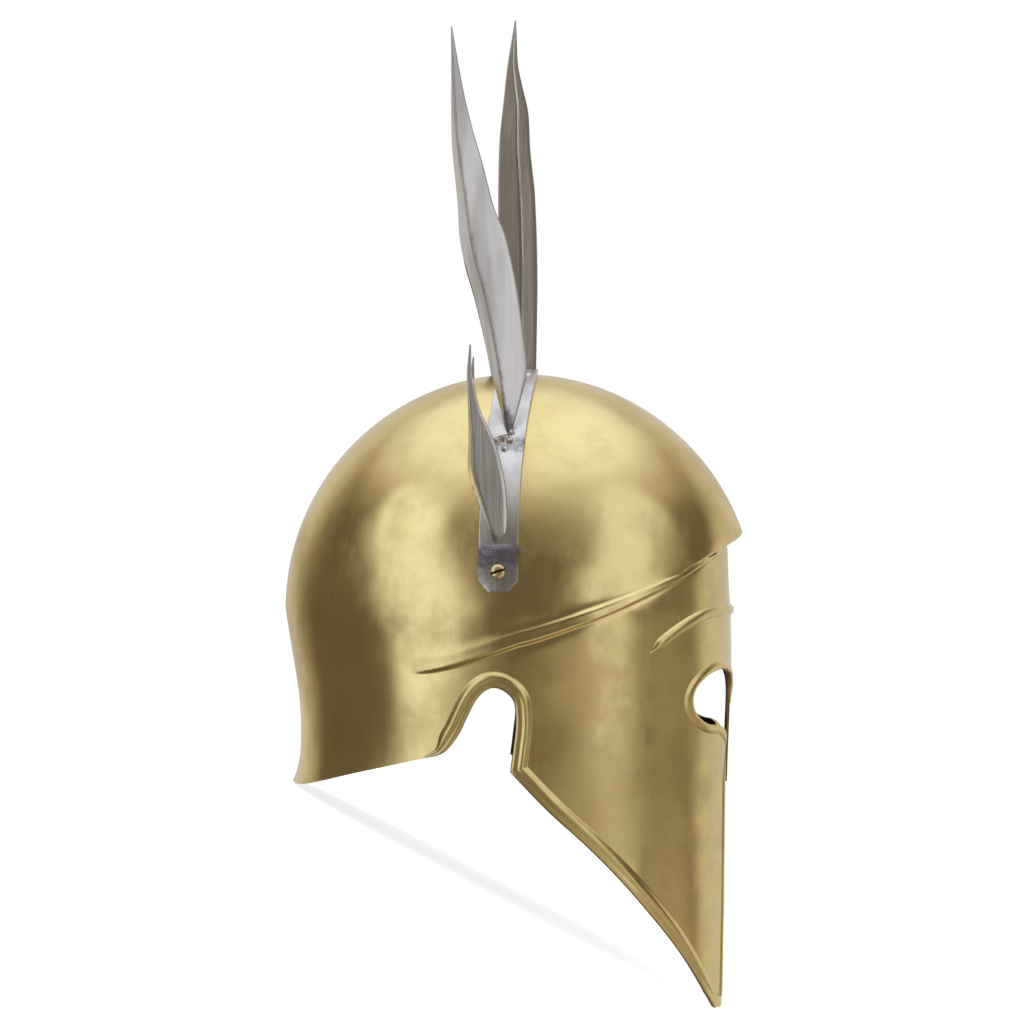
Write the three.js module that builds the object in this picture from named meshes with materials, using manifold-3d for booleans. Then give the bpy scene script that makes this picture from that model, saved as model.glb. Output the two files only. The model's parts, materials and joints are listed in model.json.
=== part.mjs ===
// Greek helmet: a brass shell with a steel crest of five leaf blades.
// The helmet is modelled upright (face to +X, wearer's left to +Y, heights from the
// cheek tips) and then tipped back onto its cheek tips and neck rim, as it rests.
import * as THREE from 'three';
import { mergeVertices } from 'three/addons/utils/BufferGeometryUtils.js';
import Module from 'manifold-3d';

const wasm = await Module();
wasm.setup();

// Shell sizes, mm
const sheet = 1.2;
const domeRadius = 124.5;
const domeHalfWidth = 95;
const domeCentreX = 4.5;
const faceDepth = 208;
const neckDrop = 91.7;
const neckOverhang = 2.5;

// Face opening sizes, mm
const cheekGap = 48;
const noseWidth = 24;
const noseDrop = 92;
const eyeReach = 61.3;
const eyeHeight = 29;
const eyeLevel = 163;

// Raised border, ridge and brow sizes, mm
const reliefHeight = 1.1;
const borderWidth = 6.8;
const eyeRimWidth = 4.8;
const browWidth = 4.4;
const ridgeWidth = 6;
const ridgeHeight = 1.3;

// Crest sizes, mm
const strapWidth = 20;
const strapThickness = 2;
const strapFootX = -7;
const strapApexX = 3.7;
const strapFootHeight = 10.6;
const footChamfer = 4.5;
const bladeThickness = 1.5;
const centreBladeHeight = 191;
const longBladeHeight = 210.4;
const shortBladeHeight = 102;
const centreBladeWidth = 23.9;
const longBladeWidth = 20;
const shortBladeWidth = 16;
const longBladeAngle = 44;
const shortBladeAngle = 74;
const centreBladeTurn = 58.3;
const longBladeTurn = 17;
const shortBladeTurn = 8.5;
const bladeRoot = 3;
const bladeSeat = 1.6;

// Beads of weld, mm and degrees from the crown
const footWeld = { angle: 76, size: { x: 9, y: 4, z: 1.6 } };
const bladeWeld = { alongX: 2, size: { x: 6, y: 3.5, z: 2.2 } };

// Fasteners, mm
const screwDiameter = 4;
const headDiameter = 7.6;
const headHeight = 2.2;
const slotWidth = 1.2;
const slotDepth = 1;
const nutWidth = 7;
const nutHeight = 3.2;
const screwRise = 10;
const seatGap = 0.3;
const strapStandoff = 1.0;
const holeClearance = 0.35;

// Mesh fineness
const columns = 52;
const domeRows = 11;
const faceRows = 10;
const leafStations = 14;
const strapStations = 30;

const rad = Math.PI / 180;
const domeCentreZ = faceDepth;
const domeTopZ = domeCentreZ + domeRadius;
const noseTipZ = domeCentreZ - noseDrop;

// Section tables. Heights are shares of the face depth, except where named.
// Rear half length, as a share of the dome radius, by share of the neck drop below the dome centre.
const rearProfile = [
  { drop: 0, length: 1 },
  { drop: 0.25, length: 0.97 },
  { drop: 0.43, length: 0.949 },
  { drop: 0.65, length: 0.936 },
  { drop: 0.83, length: 0.939 },
  { drop: 0.94, length: 0.955 },
  { drop: 1, length: 0.974 },
];
// Front half length of the face, as a share of the dome radius.
const faceProfile = [
  { height: 0, length: 0.876 },
  { height: 0.56, length: 0.878 },
  { height: 0.7, length: 0.886 },
  { height: 0.85, length: 0.8955 },
  { height: 0.97, length: 0.894 },
  { height: 1.09, length: 0.8835 },
  { height: 1.2, length: 0.878 },
];
// Half width, as a share of the dome's half width.
const widthProfile = [
  { height: 0, width: 0.78 },
  { height: 0.27, width: 0.884 },
  { height: 0.56, width: 0.94 },
  { height: 0.72, width: 0.955 },
  { height: 0.85, width: 0.975 },
  { height: 1, width: 1 },
];
// Height of the ridge between dome and face, by the front share of the section (-1 rear, 1 front).
const ridgeLine = [
  { along: -1, height: 0.862 },
  { along: -0.45, height: 0.862 },
  { along: -0.314, height: 0.8755 },
  { along: -0.168, height: 0.901 },
  { along: 0.013, height: 0.9365 },
  { along: 0.18, height: 0.96 },
  { along: 0.5, height: 1.0365 },
  { along: 0.69, height: 1.083 },
  { along: 0.85, height: 1.13 },
  { along: 0.925, height: 1.156 },
  { along: 0.98, height: 1.172 },
  { along: 1, height: 1.178 },
];

// The roll from the dome's edge down to the ridge: rise above the ridge line in ridge widths,
// share of the face's section, and share of the ridge's height.
const ridgeSteps = [
  { rise: 1.15, face: 0.22, lift: 0 },
  { rise: 0.65, face: 0.62, lift: 0 },
  { rise: 0.35, face: 0.92, lift: 0.8 },
  { rise: -0.2, face: 1, lift: 1 },
  { rise: -0.5, face: 1, lift: 0 },
];

// Smooth reading of a table with named columns, by monotone cubic steps between rows.
function readTable(rows, key, value, at) {
  if (at <= rows[0][key]) return rows[0][value];
  const last = rows.length - 1;
  if (at >= rows[last][key]) return rows[last][value];
  let i = 0;
  while (at > rows[i + 1][key]) i += 1;
  const slope = (k) => {
    const low = Math.max(k - 1, 0);
    const high = Math.min(k + 1, last);
    return (rows[high][value] - rows[low][value]) / (rows[high][key] - rows[low][key]);
  };
  const span = rows[i + 1][key] - rows[i][key];
  const t = (at - rows[i][key]) / span;
  const h00 = 2 * t ** 3 - 3 * t ** 2 + 1;
  const h10 = t ** 3 - 2 * t ** 2 + t;
  const h01 = 3 * t ** 2 - 2 * t ** 3;
  const h11 = t ** 3 - t ** 2;
  return h00 * rows[i][value] + h10 * span * slope(i) + h01 * rows[i + 1][value] + h11 * span * slope(i + 1);
}

// Signed power, for superellipse sections.
const power = (value, exponent) => Math.sign(value) * Math.abs(value) ** exponent;

// Half lengths and half width of the dome at a height.
function domeSection(z) {
  const rise = (z - domeCentreZ) / domeRadius;
  if (rise >= 0) {
    const scale = Math.sqrt(Math.max(1 - rise * rise, 0));
    return { front: domeRadius * scale, rear: domeRadius * scale, width: domeHalfWidth * scale };
  }
  const drop = (domeCentreZ - z) / neckDrop;
  return {
    front: domeRadius,
    rear: domeRadius * readTable(rearProfile, 'drop', 'length', drop),
    width: domeHalfWidth * readTable(widthProfile, 'height', 'width', z / faceDepth),
  };
}

// Point of the outer surface: dome above, face below, mixed by a share (0 dome, 1 face).
function shellPoint(angle, z, faceShare) {
  const dome = domeSection(z);
  const faceFront = domeRadius * readTable(faceProfile, 'height', 'length', z / faceDepth);
  const cos = Math.cos(angle);
  const sin = Math.sin(angle);
  if (cos <= 0) {
    return new THREE.Vector3(domeCentreX + dome.rear * cos, dome.width * sin, z);
  }
  const faceExponent = 2 / 2.3;
  const x = (1 - faceShare) * dome.front * cos + faceShare * faceFront * power(cos, faceExponent);
  const y = (1 - faceShare) * dome.width * sin + faceShare * dome.width * power(sin, faceExponent);
  return new THREE.Vector3(domeCentreX + x, y, z);
}

// Rows of one column, from the top row under the crown down to the foot of the grid.
function shellColumn(angle) {
  const along = Math.cos(angle);
  const ridgeZ = faceDepth * readTable(ridgeLine, 'along', 'height', along);
  const fade = THREE.MathUtils.smoothstep(along, -0.55, -0.3);
  const lift = ridgeHeight * fade;
  const lowest = Math.asin((ridgeZ + ridgeWidth * 1.7 - domeCentreZ) / domeRadius);
  const column = [];
  for (let j = 1; j <= domeRows; j += 1) {
    const climb = Math.PI / 2 - (Math.PI / 2 - lowest) * (j / domeRows);
    column.push({ z: domeCentreZ + domeRadius * Math.sin(climb), face: 0, lift: 0 });
  }
  for (const step of ridgeSteps) {
    column.push({ z: ridgeZ + ridgeWidth * step.rise, face: step.face, lift: lift * step.lift });
  }
  const start = ridgeZ - ridgeWidth / 2;
  for (let j = 1; j <= faceRows; j += 1) {
    column.push({ z: start + (-2 * neckOverhang - start) * (j / faceRows), face: 1, lift: 0 });
  }
  return column.map((row) => ({ point: shellPoint(angle, row.z, row.face), lift: row.lift }));
}

// Grid of outer points and outward normals of the whole shell.
function shellGrid() {
  const grid = [];
  for (let i = 0; i < columns; i += 1) grid.push(shellColumn(((i + 0.5) / columns) * 2 * Math.PI));
  const rows = grid[0].length;
  const crown = new THREE.Vector3(domeCentreX, 0, domeTopZ);
  for (let i = 0; i < columns; i += 1) {
    for (let j = 0; j < rows; j += 1) {
      const next = grid[(i + 1) % columns][j].point;
      const previous = grid[(i + columns - 1) % columns][j].point;
      const across = next.clone().sub(previous);
      const above = j === 0 ? crown : grid[i][j - 1].point;
      const below = grid[i][Math.min(j + 1, rows - 1)].point;
      grid[i][j].normal = across.cross(above.clone().sub(below)).normalize();
    }
  }
  return { grid, rows, crown };
}

const surface = shellGrid();

// Closed layer between two distances from the outer surface.
function shellLayer(outer, inner, withRelief) {
  const { grid, rows, crown } = surface;
  const positions = [];
  const index = [];
  for (const distance of [outer, inner]) {
    positions.push(crown.x, crown.y, crown.z + distance);
    for (const column of grid) {
      for (const cell of column) {
        const out = distance + (withRelief ? cell.lift : 0);
        const p = cell.point.clone().addScaledVector(cell.normal, out);
        positions.push(p.x, p.y, p.z);
      }
    }
  }
  const side = 1 + columns * rows;
  const at = (layer, i, j) => layer * side + 1 + (i % columns) * rows + j;
  for (const layer of [0, 1]) {
    const face = (a, b, c) => (layer === 0 ? index.push(a, b, c) : index.push(a, c, b));
    for (let i = 0; i < columns; i += 1) {
      face(layer * side, at(layer, i, 0), at(layer, i + 1, 0));
      for (let j = 0; j < rows - 1; j += 1) {
        face(at(layer, i, j), at(layer, i, j + 1), at(layer, i + 1, j + 1));
        face(at(layer, i, j), at(layer, i + 1, j + 1), at(layer, i + 1, j));
      }
    }
  }
  for (let i = 0; i < columns; i += 1) {
    index.push(at(0, i, rows - 1), at(1, i, rows - 1), at(1, i + 1, rows - 1));
    index.push(at(0, i, rows - 1), at(1, i + 1, rows - 1), at(0, i + 1, rows - 1));
  }
  return closedGeometry(positions, index);
}

function closedGeometry(positions, index) {
  const geometry = new THREE.BufferGeometry();
  geometry.setAttribute('position', new THREE.Float32BufferAttribute(positions, 3));
  geometry.setIndex(index);
  return geometry;
}

// Closed three.js geometry as a solid that can be joined and cut.
function toSolid(geometry) {
  const bare = geometry.clone();
  bare.deleteAttribute('normal');
  bare.deleteAttribute('uv');
  const merged = mergeVertices(bare, 1e-4);
  return new wasm.Manifold(new wasm.Mesh({
    numProp: 3,
    vertProperties: new Float32Array(merged.attributes.position.array),
    triVerts: new Uint32Array(merged.index.array),
  }));
}

function toGeometry(solid) {
  const mesh = solid.getMesh();
  const geometry = new THREE.BufferGeometry();
  geometry.setAttribute('position', new THREE.BufferAttribute(mesh.vertProperties, mesh.numProp));
  geometry.setIndex(new THREE.BufferAttribute(mesh.triVerts, 1));
  return geometry;
}

// Prism of a side view outline (x, z), through the whole width.
function sidePrism(points) {
  const shape = new THREE.Shape(points);
  const depth = domeHalfWidth * 3;
  const geometry = new THREE.ExtrudeGeometry(shape, { depth, bevelEnabled: false });
  geometry.translate(0, 0, -depth / 2);
  geometry.rotateX(Math.PI / 2);
  return toSolid(geometry);
}

// Prism of a front view outline (y, z), from inside the head space out through the face.
function frontPrism(points) {
  const shape = new THREE.Shape(points);
  const depth = domeRadius;
  const geometry = new THREE.ExtrudeGeometry(shape, { depth, bevelEnabled: false });
  geometry.rotateX(Math.PI / 2);
  geometry.rotateZ(Math.PI / 2);
  geometry.translate(domeCentreX + domeRadius * 0.3, 0, 0);
  return toSolid(geometry);
}

// Side view outline of the lower rim, rear to front. x and height are shares of the dome
// radius and the face depth.
const rimShares = [
  { x: -1.16, height: 0.5592 },
  { x: -0.93, height: 0.5592 },
  { x: -0.63, height: 0.6025 },
  { x: -0.42, height: 0.6317 },
  { x: -0.32, height: 0.6452 },
];
const notchShares = [
  { x: -0.275, height: 0.658 },
  { x: -0.238, height: 0.683 },
  { x: -0.213, height: 0.707 },
  { x: -0.193, height: 0.732 },
  { x: -0.152, height: 0.781 },
  { x: -0.11, height: 0.808 },
  { x: -0.07, height: 0.815 },
  { x: -0.03, height: 0.807 },
  { x: 0.006, height: 0.782 },
  { x: 0.014, height: 0.732 },
  { x: 0.008, height: 0.683 },
  { x: 0, height: 0.65 },
  { x: -0.008, height: 0.609 },
];
const cheekShares = [
  { x: 0.02, height: 0.588 },
  { x: 0.152, height: 0.51 },
  { x: 0.239, height: 0.46 },
  { x: 0.325, height: 0.412 },
  { x: 0.411, height: 0.36 },
  { x: 0.49, height: 0.308 },
  { x: 0.562, height: 0.257 },
  { x: 0.634, height: 0.204 },
  { x: 0.698, height: 0.152 },
  { x: 0.755, height: 0.099 },
  { x: 0.807, height: 0.045 },
  { x: 0.85, height: 0 },
];

const sidePoint = (row) => new THREE.Vector2(row.x * domeRadius, row.height * faceDepth);
const rimLine = [...rimShares, ...notchShares, ...cheekShares].map(sidePoint);
const borderLine = [...rimShares.slice(-1), ...notchShares, ...cheekShares].map(sidePoint);

// The same line moved square to itself, for the raised border's inner edge.
function offsetLine(line, distance) {
  return line.map((point, i) => {
    const before = line[Math.max(i - 1, 0)];
    const after = line[Math.min(i + 1, line.length - 1)];
    const dx = after.x - before.x;
    const dy = after.y - before.y;
    const length = Math.hypot(dx, dy);
    return new THREE.Vector2(point.x - (dy / length) * distance, point.y + (dx / length) * distance);
  });
}

// What lies under the rim line, cut away.
function underRim() {
  const floorZ = -faceDepth * 0.2;
  const farX = domeRadius * 1.3;
  return sidePrism([
    new THREE.Vector2(-farX, floorZ),
    new THREE.Vector2(-farX, rimLine[0].y),
    ...rimLine,
    new THREE.Vector2(farX, 0),
    new THREE.Vector2(farX, floorZ),
  ]);
}

// One side of the face opening in front view, from the nose tip round the eye and down the cheek.
function openingSide() {
  const nose = noseWidth / 2;
  const gap = cheekGap / 2;
  const half = eyeHeight / 2;
  const top = eyeLevel + half;
  const bottom = eyeLevel - half;
  const middle = (nose + eyeReach) / 2;
  const path = new THREE.Path();
  path.moveTo(0, noseTipZ);
  path.quadraticCurveTo(nose * 0.75, noseTipZ + nose * 0.33, nose, noseTipZ + nose * 1.5);
  path.lineTo(nose, eyeLevel - half * 0.3);
  path.bezierCurveTo(nose, eyeLevel + half * 0.4, nose + half * 0.6, top, middle, top);
  path.bezierCurveTo(eyeReach - half * 0.7, top, eyeReach, eyeLevel + half * 0.6, eyeReach, eyeLevel);
  const low = bottom + half * 0.35;
  path.bezierCurveTo(eyeReach, low, eyeReach - half * 0.6, bottom, middle + half * 0.4, bottom);
  path.quadraticCurveTo(gap, bottom - half * 0.05, gap, bottom - half);
  path.lineTo(gap, -faceDepth * 0.1);
  return path.getPoints(5);
}

function mirrored(points) {
  return points.map((p) => new THREE.Vector2(-p.x, p.y)).reverse();
}

function faceOpening() {
  const side = openingSide();
  return frontPrism([...mirrored(side.slice(1)), ...side]);
}

// Band round each eye, as wide as the eye rim, from the nose to the cheek edge.
function eyeBand() {
  const side = openingSide().filter((p) => p.y > eyeLevel - eyeHeight * 0.9 && p.x > noseWidth * 0.4);
  const outer = offsetLine(side, eyeRimWidth);
  const band = [...side.map((p) => p.clone()), ...outer.reverse()];
  return frontPrism(band).add(frontPrism(mirrored(band)));
}

// Brow band over the eye in side view, tapered to the rear.
const browShares = [
  { x: 0.565, height: 0.905, width: 0.15 },
  { x: 0.672, height: 0.965, width: 0.9 },
  { x: 0.765, height: 1.002, width: 1 },
  { x: 0.86, height: 1.018, width: 1 },
  { x: 1.05, height: 1.006, width: 1 },
];

function browBand() {
  const line = browShares.map(sidePoint);
  const half = browShares.map((row) => (row.width * browWidth) / 2);
  const upper = line.map((p, i) => new THREE.Vector2(p.x, p.y + half[i]));
  const lower = line.map((p, i) => new THREE.Vector2(p.x, p.y - half[i]));
  return sidePrism([...lower, ...upper.reverse()]);
}

function borderBand() {
  const inner = offsetLine(borderLine, borderWidth);
  return sidePrism([...borderLine.map((p) => p.clone()), ...inner.reverse()]);
}

// Dome surface at a place x along the helmet and an angle round the arch from the crown
// (positive to the wearer's right), with the outward direction there.
function domeFrame(x, arch) {
  const share = (x - domeCentreX) / domeRadius;
  const scale = Math.sqrt(1 - share * share);
  const point = new THREE.Vector3(
    x,
    -domeHalfWidth * scale * Math.sin(arch),
    domeCentreZ + domeRadius * scale * Math.cos(arch),
  );
  const normal = new THREE.Vector3(
    (x - domeCentreX) / domeRadius ** 2,
    point.y / domeHalfWidth ** 2,
    (point.z - domeCentreZ) / domeRadius ** 2,
  ).normalize();
  return { point, normal };
}

const footArch = Math.acos(strapFootHeight / domeRadius);
const strapX = (arch) => strapFootX + (strapApexX - strapFootX) * Math.max(Math.cos(arch), 0) ** 3;

// Loft of closed sections with the same number of points, capped at both ends.
function loft(sections) {
  const positions = [];
  const index = [];
  const count = sections[0].length;
  for (const section of sections) {
    for (const p of section) positions.push(p.x, p.y, p.z);
  }
  for (let s = 0; s < sections.length - 1; s += 1) {
    for (let k = 0; k < count; k += 1) {
      const a = s * count + k;
      const b = s * count + ((k + 1) % count);
      index.push(a, b, b + count);
      index.push(a, b + count, a + count);
    }
  }
  const last = (sections.length - 1) * count;
  const contour = capTriangles(count);
  for (const [a, b, c] of contour) {
    index.push(a, c, b);
    index.push(last + a, last + b, last + c);
  }
  return closedGeometry(positions, index);
}

// Cap of a four-sided or an L-shaped section (spine, edge, edge, crotch, edge, edge).
function capTriangles(count) {
  if (count === 4) return [[0, 1, 2], [0, 2, 3]];
  return [[0, 1, 2], [0, 2, 3], [0, 3, 4], [0, 4, 5]];
}

function orient(solidGeometry) {
  let volume = 0;
  const p = solidGeometry.attributes.position;
  const t = solidGeometry.index.array;
  const corner = (k) => new THREE.Vector3().fromBufferAttribute(p, t[k]);
  for (let k = 0; k < t.length; k += 3) {
    volume += corner(k).dot(corner(k + 1).cross(corner(k + 2)));
  }
  if (volume > 0) return solidGeometry;
  const flipped = Array.from(t);
  for (let k = 0; k < flipped.length; k += 3) {
    [flipped[k + 1], flipped[k + 2]] = [flipped[k + 2], flipped[k + 1]];
  }
  solidGeometry.setIndex(flipped);
  return solidGeometry;
}

// Steel strap over the dome, with chamfered feet.
function strap() {
  const sections = [];
  const reach = footArch;
  const chamferArch = footChamfer / domeHalfWidth;
  const arches = [-reach, -reach + chamferArch];
  for (let s = 1; s < strapStations; s += 1) {
    arches.push((-reach + chamferArch) * (1 - (2 * s) / strapStations));
  }
  arches.push(reach - chamferArch, reach);
  for (const arch of arches) {
    const half = strapWidth / 2 - (Math.abs(arch) > reach - chamferArch / 2 ? footChamfer : 0);
    const centre = strapX(arch);
    const section = [];
    for (const [side, out] of [[-1, 0], [1, 0], [1, 1], [-1, 1]]) {
      const frame = domeFrame(centre + side * half, arch);
      const lift = strapStandoff + out * strapThickness;
      section.push(frame.point.addScaledVector(frame.normal, lift));
    }
    sections.push(section);
  }
  return orient(loft(sections));
}

// Leaf width along a blade, as a share of its widest half, by share of its height.
const longLeaf = [
  { along: 0, width: 0.1 },
  { along: 0.044, width: 0.3 },
  { along: 0.093, width: 0.515 },
  { along: 0.154, width: 0.755 },
  { along: 0.25, width: 0.84 },
  { along: 0.4, width: 0.97 },
  { along: 0.45, width: 1 },
  { along: 0.5, width: 0.95 },
  { along: 0.56, width: 0.765 },
  { along: 0.68, width: 0.6 },
  { along: 0.75, width: 0.46 },
  { along: 0.824, width: 0.31 },
  { along: 0.92, width: 0.16 },
  { along: 1, width: 0.06 },
];
const shortLeaf = [
  { along: 0, width: 0.38 },
  { along: 0.1, width: 0.6 },
  { along: 0.234, width: 0.87 },
  { along: 0.36, width: 1 },
  { along: 0.51, width: 0.77 },
  { along: 0.667, width: 0.38 },
  { along: 0.833, width: 0.19 },
  { along: 1, width: 0.1 },
];
const centreLeaf = [
  { along: 0, width: 0.9 },
  { along: 0.107, width: 0.94 },
  { along: 0.318, width: 1 },
  { along: 0.515, width: 0.955 },
  { along: 0.628, width: 0.825 },
  { along: 0.741, width: 0.68 },
  { along: 0.825, width: 0.42 },
  { along: 0.882, width: 0.25 },
  { along: 1, width: 0.06 },
];
// Spine of each blade: set back along x, as a share of its height.
const longSpine = [
  { along: 0, back: 0 },
  { along: 0.16, back: 0.022 },
  { along: 0.26, back: 0.04 },
  { along: 0.36, back: 0.062 },
  { along: 0.46, back: 0.088 },
  { along: 0.6, back: 0.108 },
  { along: 0.75, back: 0.127 },
  { along: 1, back: 0.139 },
];
const shortSpine = [
  { along: 0, back: -0.01 },
  { along: 0.1, back: 0.02 },
  { along: 0.234, back: 0.062 },
  { along: 0.36, back: 0.099 },
  { along: 0.51, back: 0.104 },
  { along: 0.84, back: 0.1245 },
  { along: 1, back: 0.114 },
];
const centreSpine = [
  { along: 0, back: 0 },
  { along: 0.459, back: 0.008 },
  { along: 0.656, back: 0.005 },
  { along: 0.769, back: -0.006 },
  { along: 0.882, back: -0.019 },
  { along: 1, back: -0.039 },
];

// One blade: two half leaves at a right angle along a spine. The first leaf points forward,
// turned inward by the given angle; the second stands square to it on the inner side.
function blade({ foot, height, halfWidth, turn, hand, leaf, spine }) {
  const sections = [];
  for (let s = 0; s <= leafStations; s += 1) {
    const along = s / leafStations;
    const wide = Math.max(halfWidth * readTable(leaf, 'along', 'width', along), bladeThickness * 1.2);
    const corner = new THREE.Vector3(
      foot.x - height * readTable(spine, 'along', 'back', along),
      foot.y,
      foot.z + height * along,
    );
    const first = new THREE.Vector3(Math.cos(turn), hand * Math.sin(turn), 0);
    const second = new THREE.Vector3(-Math.sin(turn), hand * Math.cos(turn), 0);
    const place = (a, b) => corner.clone().addScaledVector(first, a).addScaledVector(second, b);
    sections.push([
      place(0, 0),
      place(wide, 0),
      place(wide, bladeThickness),
      place(bladeThickness, bladeThickness),
      place(bladeThickness, wide),
      place(0, wide),
    ]);
  }
  return orient(loft(sections));
}

// Flattened lump of weld, seated on the strap.
function weldLump(arch, alongX, size) {
  const frame = domeFrame(strapX(arch) + alongX, arch);
  const lump = new THREE.SphereGeometry(1, 8, 6);
  lump.scale(size.x, size.y, size.z);
  const turnTo = new THREE.Quaternion().setFromUnitVectors(new THREE.Vector3(0, 0, 1), frame.normal);
  lump.applyQuaternion(turnTo);
  const seat = frame.point.addScaledVector(frame.normal, strapStandoff + strapThickness);
  lump.translate(seat.x, seat.y, seat.z);
  return lump;
}

// Screw axis: the outward direction of the dome at the foot of the strap.
const screwArch = Math.acos((strapFootHeight + screwRise) / domeRadius);

function fastenerFrame(hand) {
  const arch = hand * screwArch;
  const frame = domeFrame(strapX(arch), arch);
  const turnTo = new THREE.Quaternion().setFromUnitVectors(new THREE.Vector3(0, 1, 0), frame.normal);
  return { frame, turnTo };
}

function seatOnAxis(geometry, hand, lift) {
  const { frame, turnTo } = fastenerFrame(hand);
  geometry.applyQuaternion(turnTo);
  const at = frame.point.addScaledVector(frame.normal, lift);
  geometry.translate(at.x, at.y, at.z);
  return geometry;
}

function screwHole(hand) {
  const hole = new THREE.CylinderGeometry(
    screwDiameter / 2 + holeClearance,
    screwDiameter / 2 + holeClearance,
    domeHalfWidth * 0.2,
    16,
  );
  return toSolid(seatOnAxis(hole, hand, 0));
}

// Middle of the strap above the dome at the screw: the strap is flat across, the dome is round.
const strapMidLift = strapStandoff - (strapWidth / 2) ** 2 / (2 * domeRadius);
// How far the flat faces of the dome's mesh lie inside the true dome.
const facetSag = domeRadius * (2 - Math.cos(Math.PI / columns) - Math.cos(Math.PI / 4 / domeRows));

function screwGeometry(hand) {
  const headBase = strapMidLift + strapThickness + seatGap;
  const shankEnd = -sheet - seatGap - facetSag - nutHeight - 1;
  const r = screwDiameter / 2;
  const top = headBase + headHeight;
  const profile = [
    new THREE.Vector2(0, shankEnd),
    new THREE.Vector2(r * 0.8, shankEnd),
    new THREE.Vector2(r, shankEnd + 0.5),
    new THREE.Vector2(r, headBase),
    new THREE.Vector2(headDiameter / 2, headBase),
    new THREE.Vector2(headDiameter / 2, top - 0.9),
    new THREE.Vector2(headDiameter * 0.36, top - 0.2),
    new THREE.Vector2(0, top),
  ];
  const body = toSolid(new THREE.LatheGeometry(profile, 18));
  const slot = new THREE.BoxGeometry(headDiameter * 1.2, slotDepth * 2, slotWidth);
  slot.rotateY(hand * 17 * rad);
  slot.translate(0, top, 0);
  return seatOnAxis(toGeometry(body.subtract(toSolid(slot))), hand, 0);
}

function nutGeometry(hand) {
  const top = -sheet - seatGap - facetSag;
  const nut = new THREE.CylinderGeometry(nutWidth * 0.577, nutWidth * 0.577, nutHeight, 6);
  nut.translate(0, top - nutHeight / 2, 0);
  const bore = new THREE.CylinderGeometry(
    screwDiameter / 2 + seatGap,
    screwDiameter / 2 + seatGap,
    nutHeight * 3,
    16,
  );
  bore.translate(0, top - nutHeight / 2, 0);
  return seatOnAxis(toGeometry(toSolid(nut).subtract(toSolid(bore))), hand, 0);
}

function shellGeometry() {
  const wall = toSolid(shellLayer(0, -sheet, true));
  const skin = toSolid(shellLayer(reliefHeight, -sheet / 2, true));
  const relief = borderBand().add(browBand()).add(eyeBand());
  let body = wall.add(skin.intersect(relief));
  body = body.subtract(underRim()).subtract(faceOpening());
  for (const hand of [-1, 1]) body = body.subtract(screwHole(hand));
  return toGeometry(body);
}

function crestGeometry() {
  const placeFoot = (arch, alongX, lift) => {
    const frame = domeFrame(strapX(arch) + alongX, arch);
    return frame.point.addScaledVector(frame.normal, lift);
  };
  const long = { halfWidth: longBladeWidth, height: longBladeHeight, leaf: longLeaf, spine: longSpine };
  const short = { halfWidth: shortBladeWidth, height: shortBladeHeight, leaf: shortLeaf, spine: shortSpine };
  const centre = {
    halfWidth: centreBladeWidth, height: centreBladeHeight, leaf: centreLeaf, spine: centreSpine,
  };
  let blades = toSolid(blade({
    ...centre, foot: placeFoot(0, -strapWidth / 2, -bladeRoot), turn: -centreBladeTurn * rad, hand: 1,
  }));
  for (const hand of [-1, 1]) {
    const longFoot = placeFoot(hand * longBladeAngle * rad, 1, bladeSeat);
    const shortFoot = placeFoot(hand * shortBladeAngle * rad, -3, bladeSeat);
    blades = blades.add(toSolid(blade({ ...long, foot: longFoot, turn: longBladeTurn * rad, hand })));
    blades = blades.add(toSolid(blade({ ...short, foot: shortFoot, turn: shortBladeTurn * rad, hand })));
  }
  const clearOfDome = toSolid(shellLayer(strapStandoff * 0.7, -6 * bladeRoot, true));
  let body = blades.subtract(clearOfDome).add(toSolid(strap()));
  for (const hand of [-1, 1]) {
    body = body.add(toSolid(weldLump(hand * footWeld.angle * rad, 0, footWeld.size)));
    const mound = weldLump(hand * longBladeAngle * rad, bladeWeld.alongX, bladeWeld.size);
    body = body.add(toSolid(mound));
    body = body.subtract(screwHole(hand));
  }
  return toGeometry(body);
}

const brass = new THREE.MeshStandardMaterial({ color: 0xb89f62, metalness: 1, roughness: 0.32 });
const steel = new THREE.MeshStandardMaterial({ color: 0x9a9a9c, metalness: 1, roughness: 0.35 });

function piece(name, geometry, material) {
  const mesh = new THREE.Mesh(geometry, material);
  mesh.name = name;
  return mesh;
}

const helmet = new THREE.Group();
helmet.add(piece('shell', shellGeometry(), brass));
helmet.add(piece('crest', crestGeometry(), steel));
for (const [side, hand] of [['right', 1], ['left', -1]]) {
  helmet.add(piece(`screw_${side}`, screwGeometry(hand), brass));
  helmet.add(piece(`nut_${side}`, nutGeometry(hand), brass));
}

// Rest: tipped back until the front tips and the rear rim touch the same level surface.
function restTilt(meshes) {
  const lowest = (tilt, front) => {
    let low = Infinity;
    for (const mesh of meshes) {
      const p = mesh.geometry.attributes.position;
      for (let k = 0; k < p.count; k += 1) {
        if (p.getX(k) > 0 !== front) continue;
        low = Math.min(low, p.getZ(k) * Math.cos(tilt) + p.getX(k) * Math.sin(tilt));
      }
    }
    return low;
  };
  let flat = 0;
  let steep = Math.PI / 3;
  for (let step = 0; step < 50; step += 1) {
    const tilt = (flat + steep) / 2;
    if (lowest(tilt, true) < lowest(tilt, false)) flat = tilt;
    else steep = tilt;
  }
  return (flat + steep) / 2;
}

helmet.rotation.y = -restTilt(helmet.children);
helmet.updateMatrixWorld(true);
const box = new THREE.Box3().setFromObject(helmet, true);
helmet.position.set(-(box.min.x + box.max.x) / 2, -(box.min.y + box.max.y) / 2, -box.min.z);

const root = new THREE.Group();
root.add(helmet);
export default root;
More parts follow.
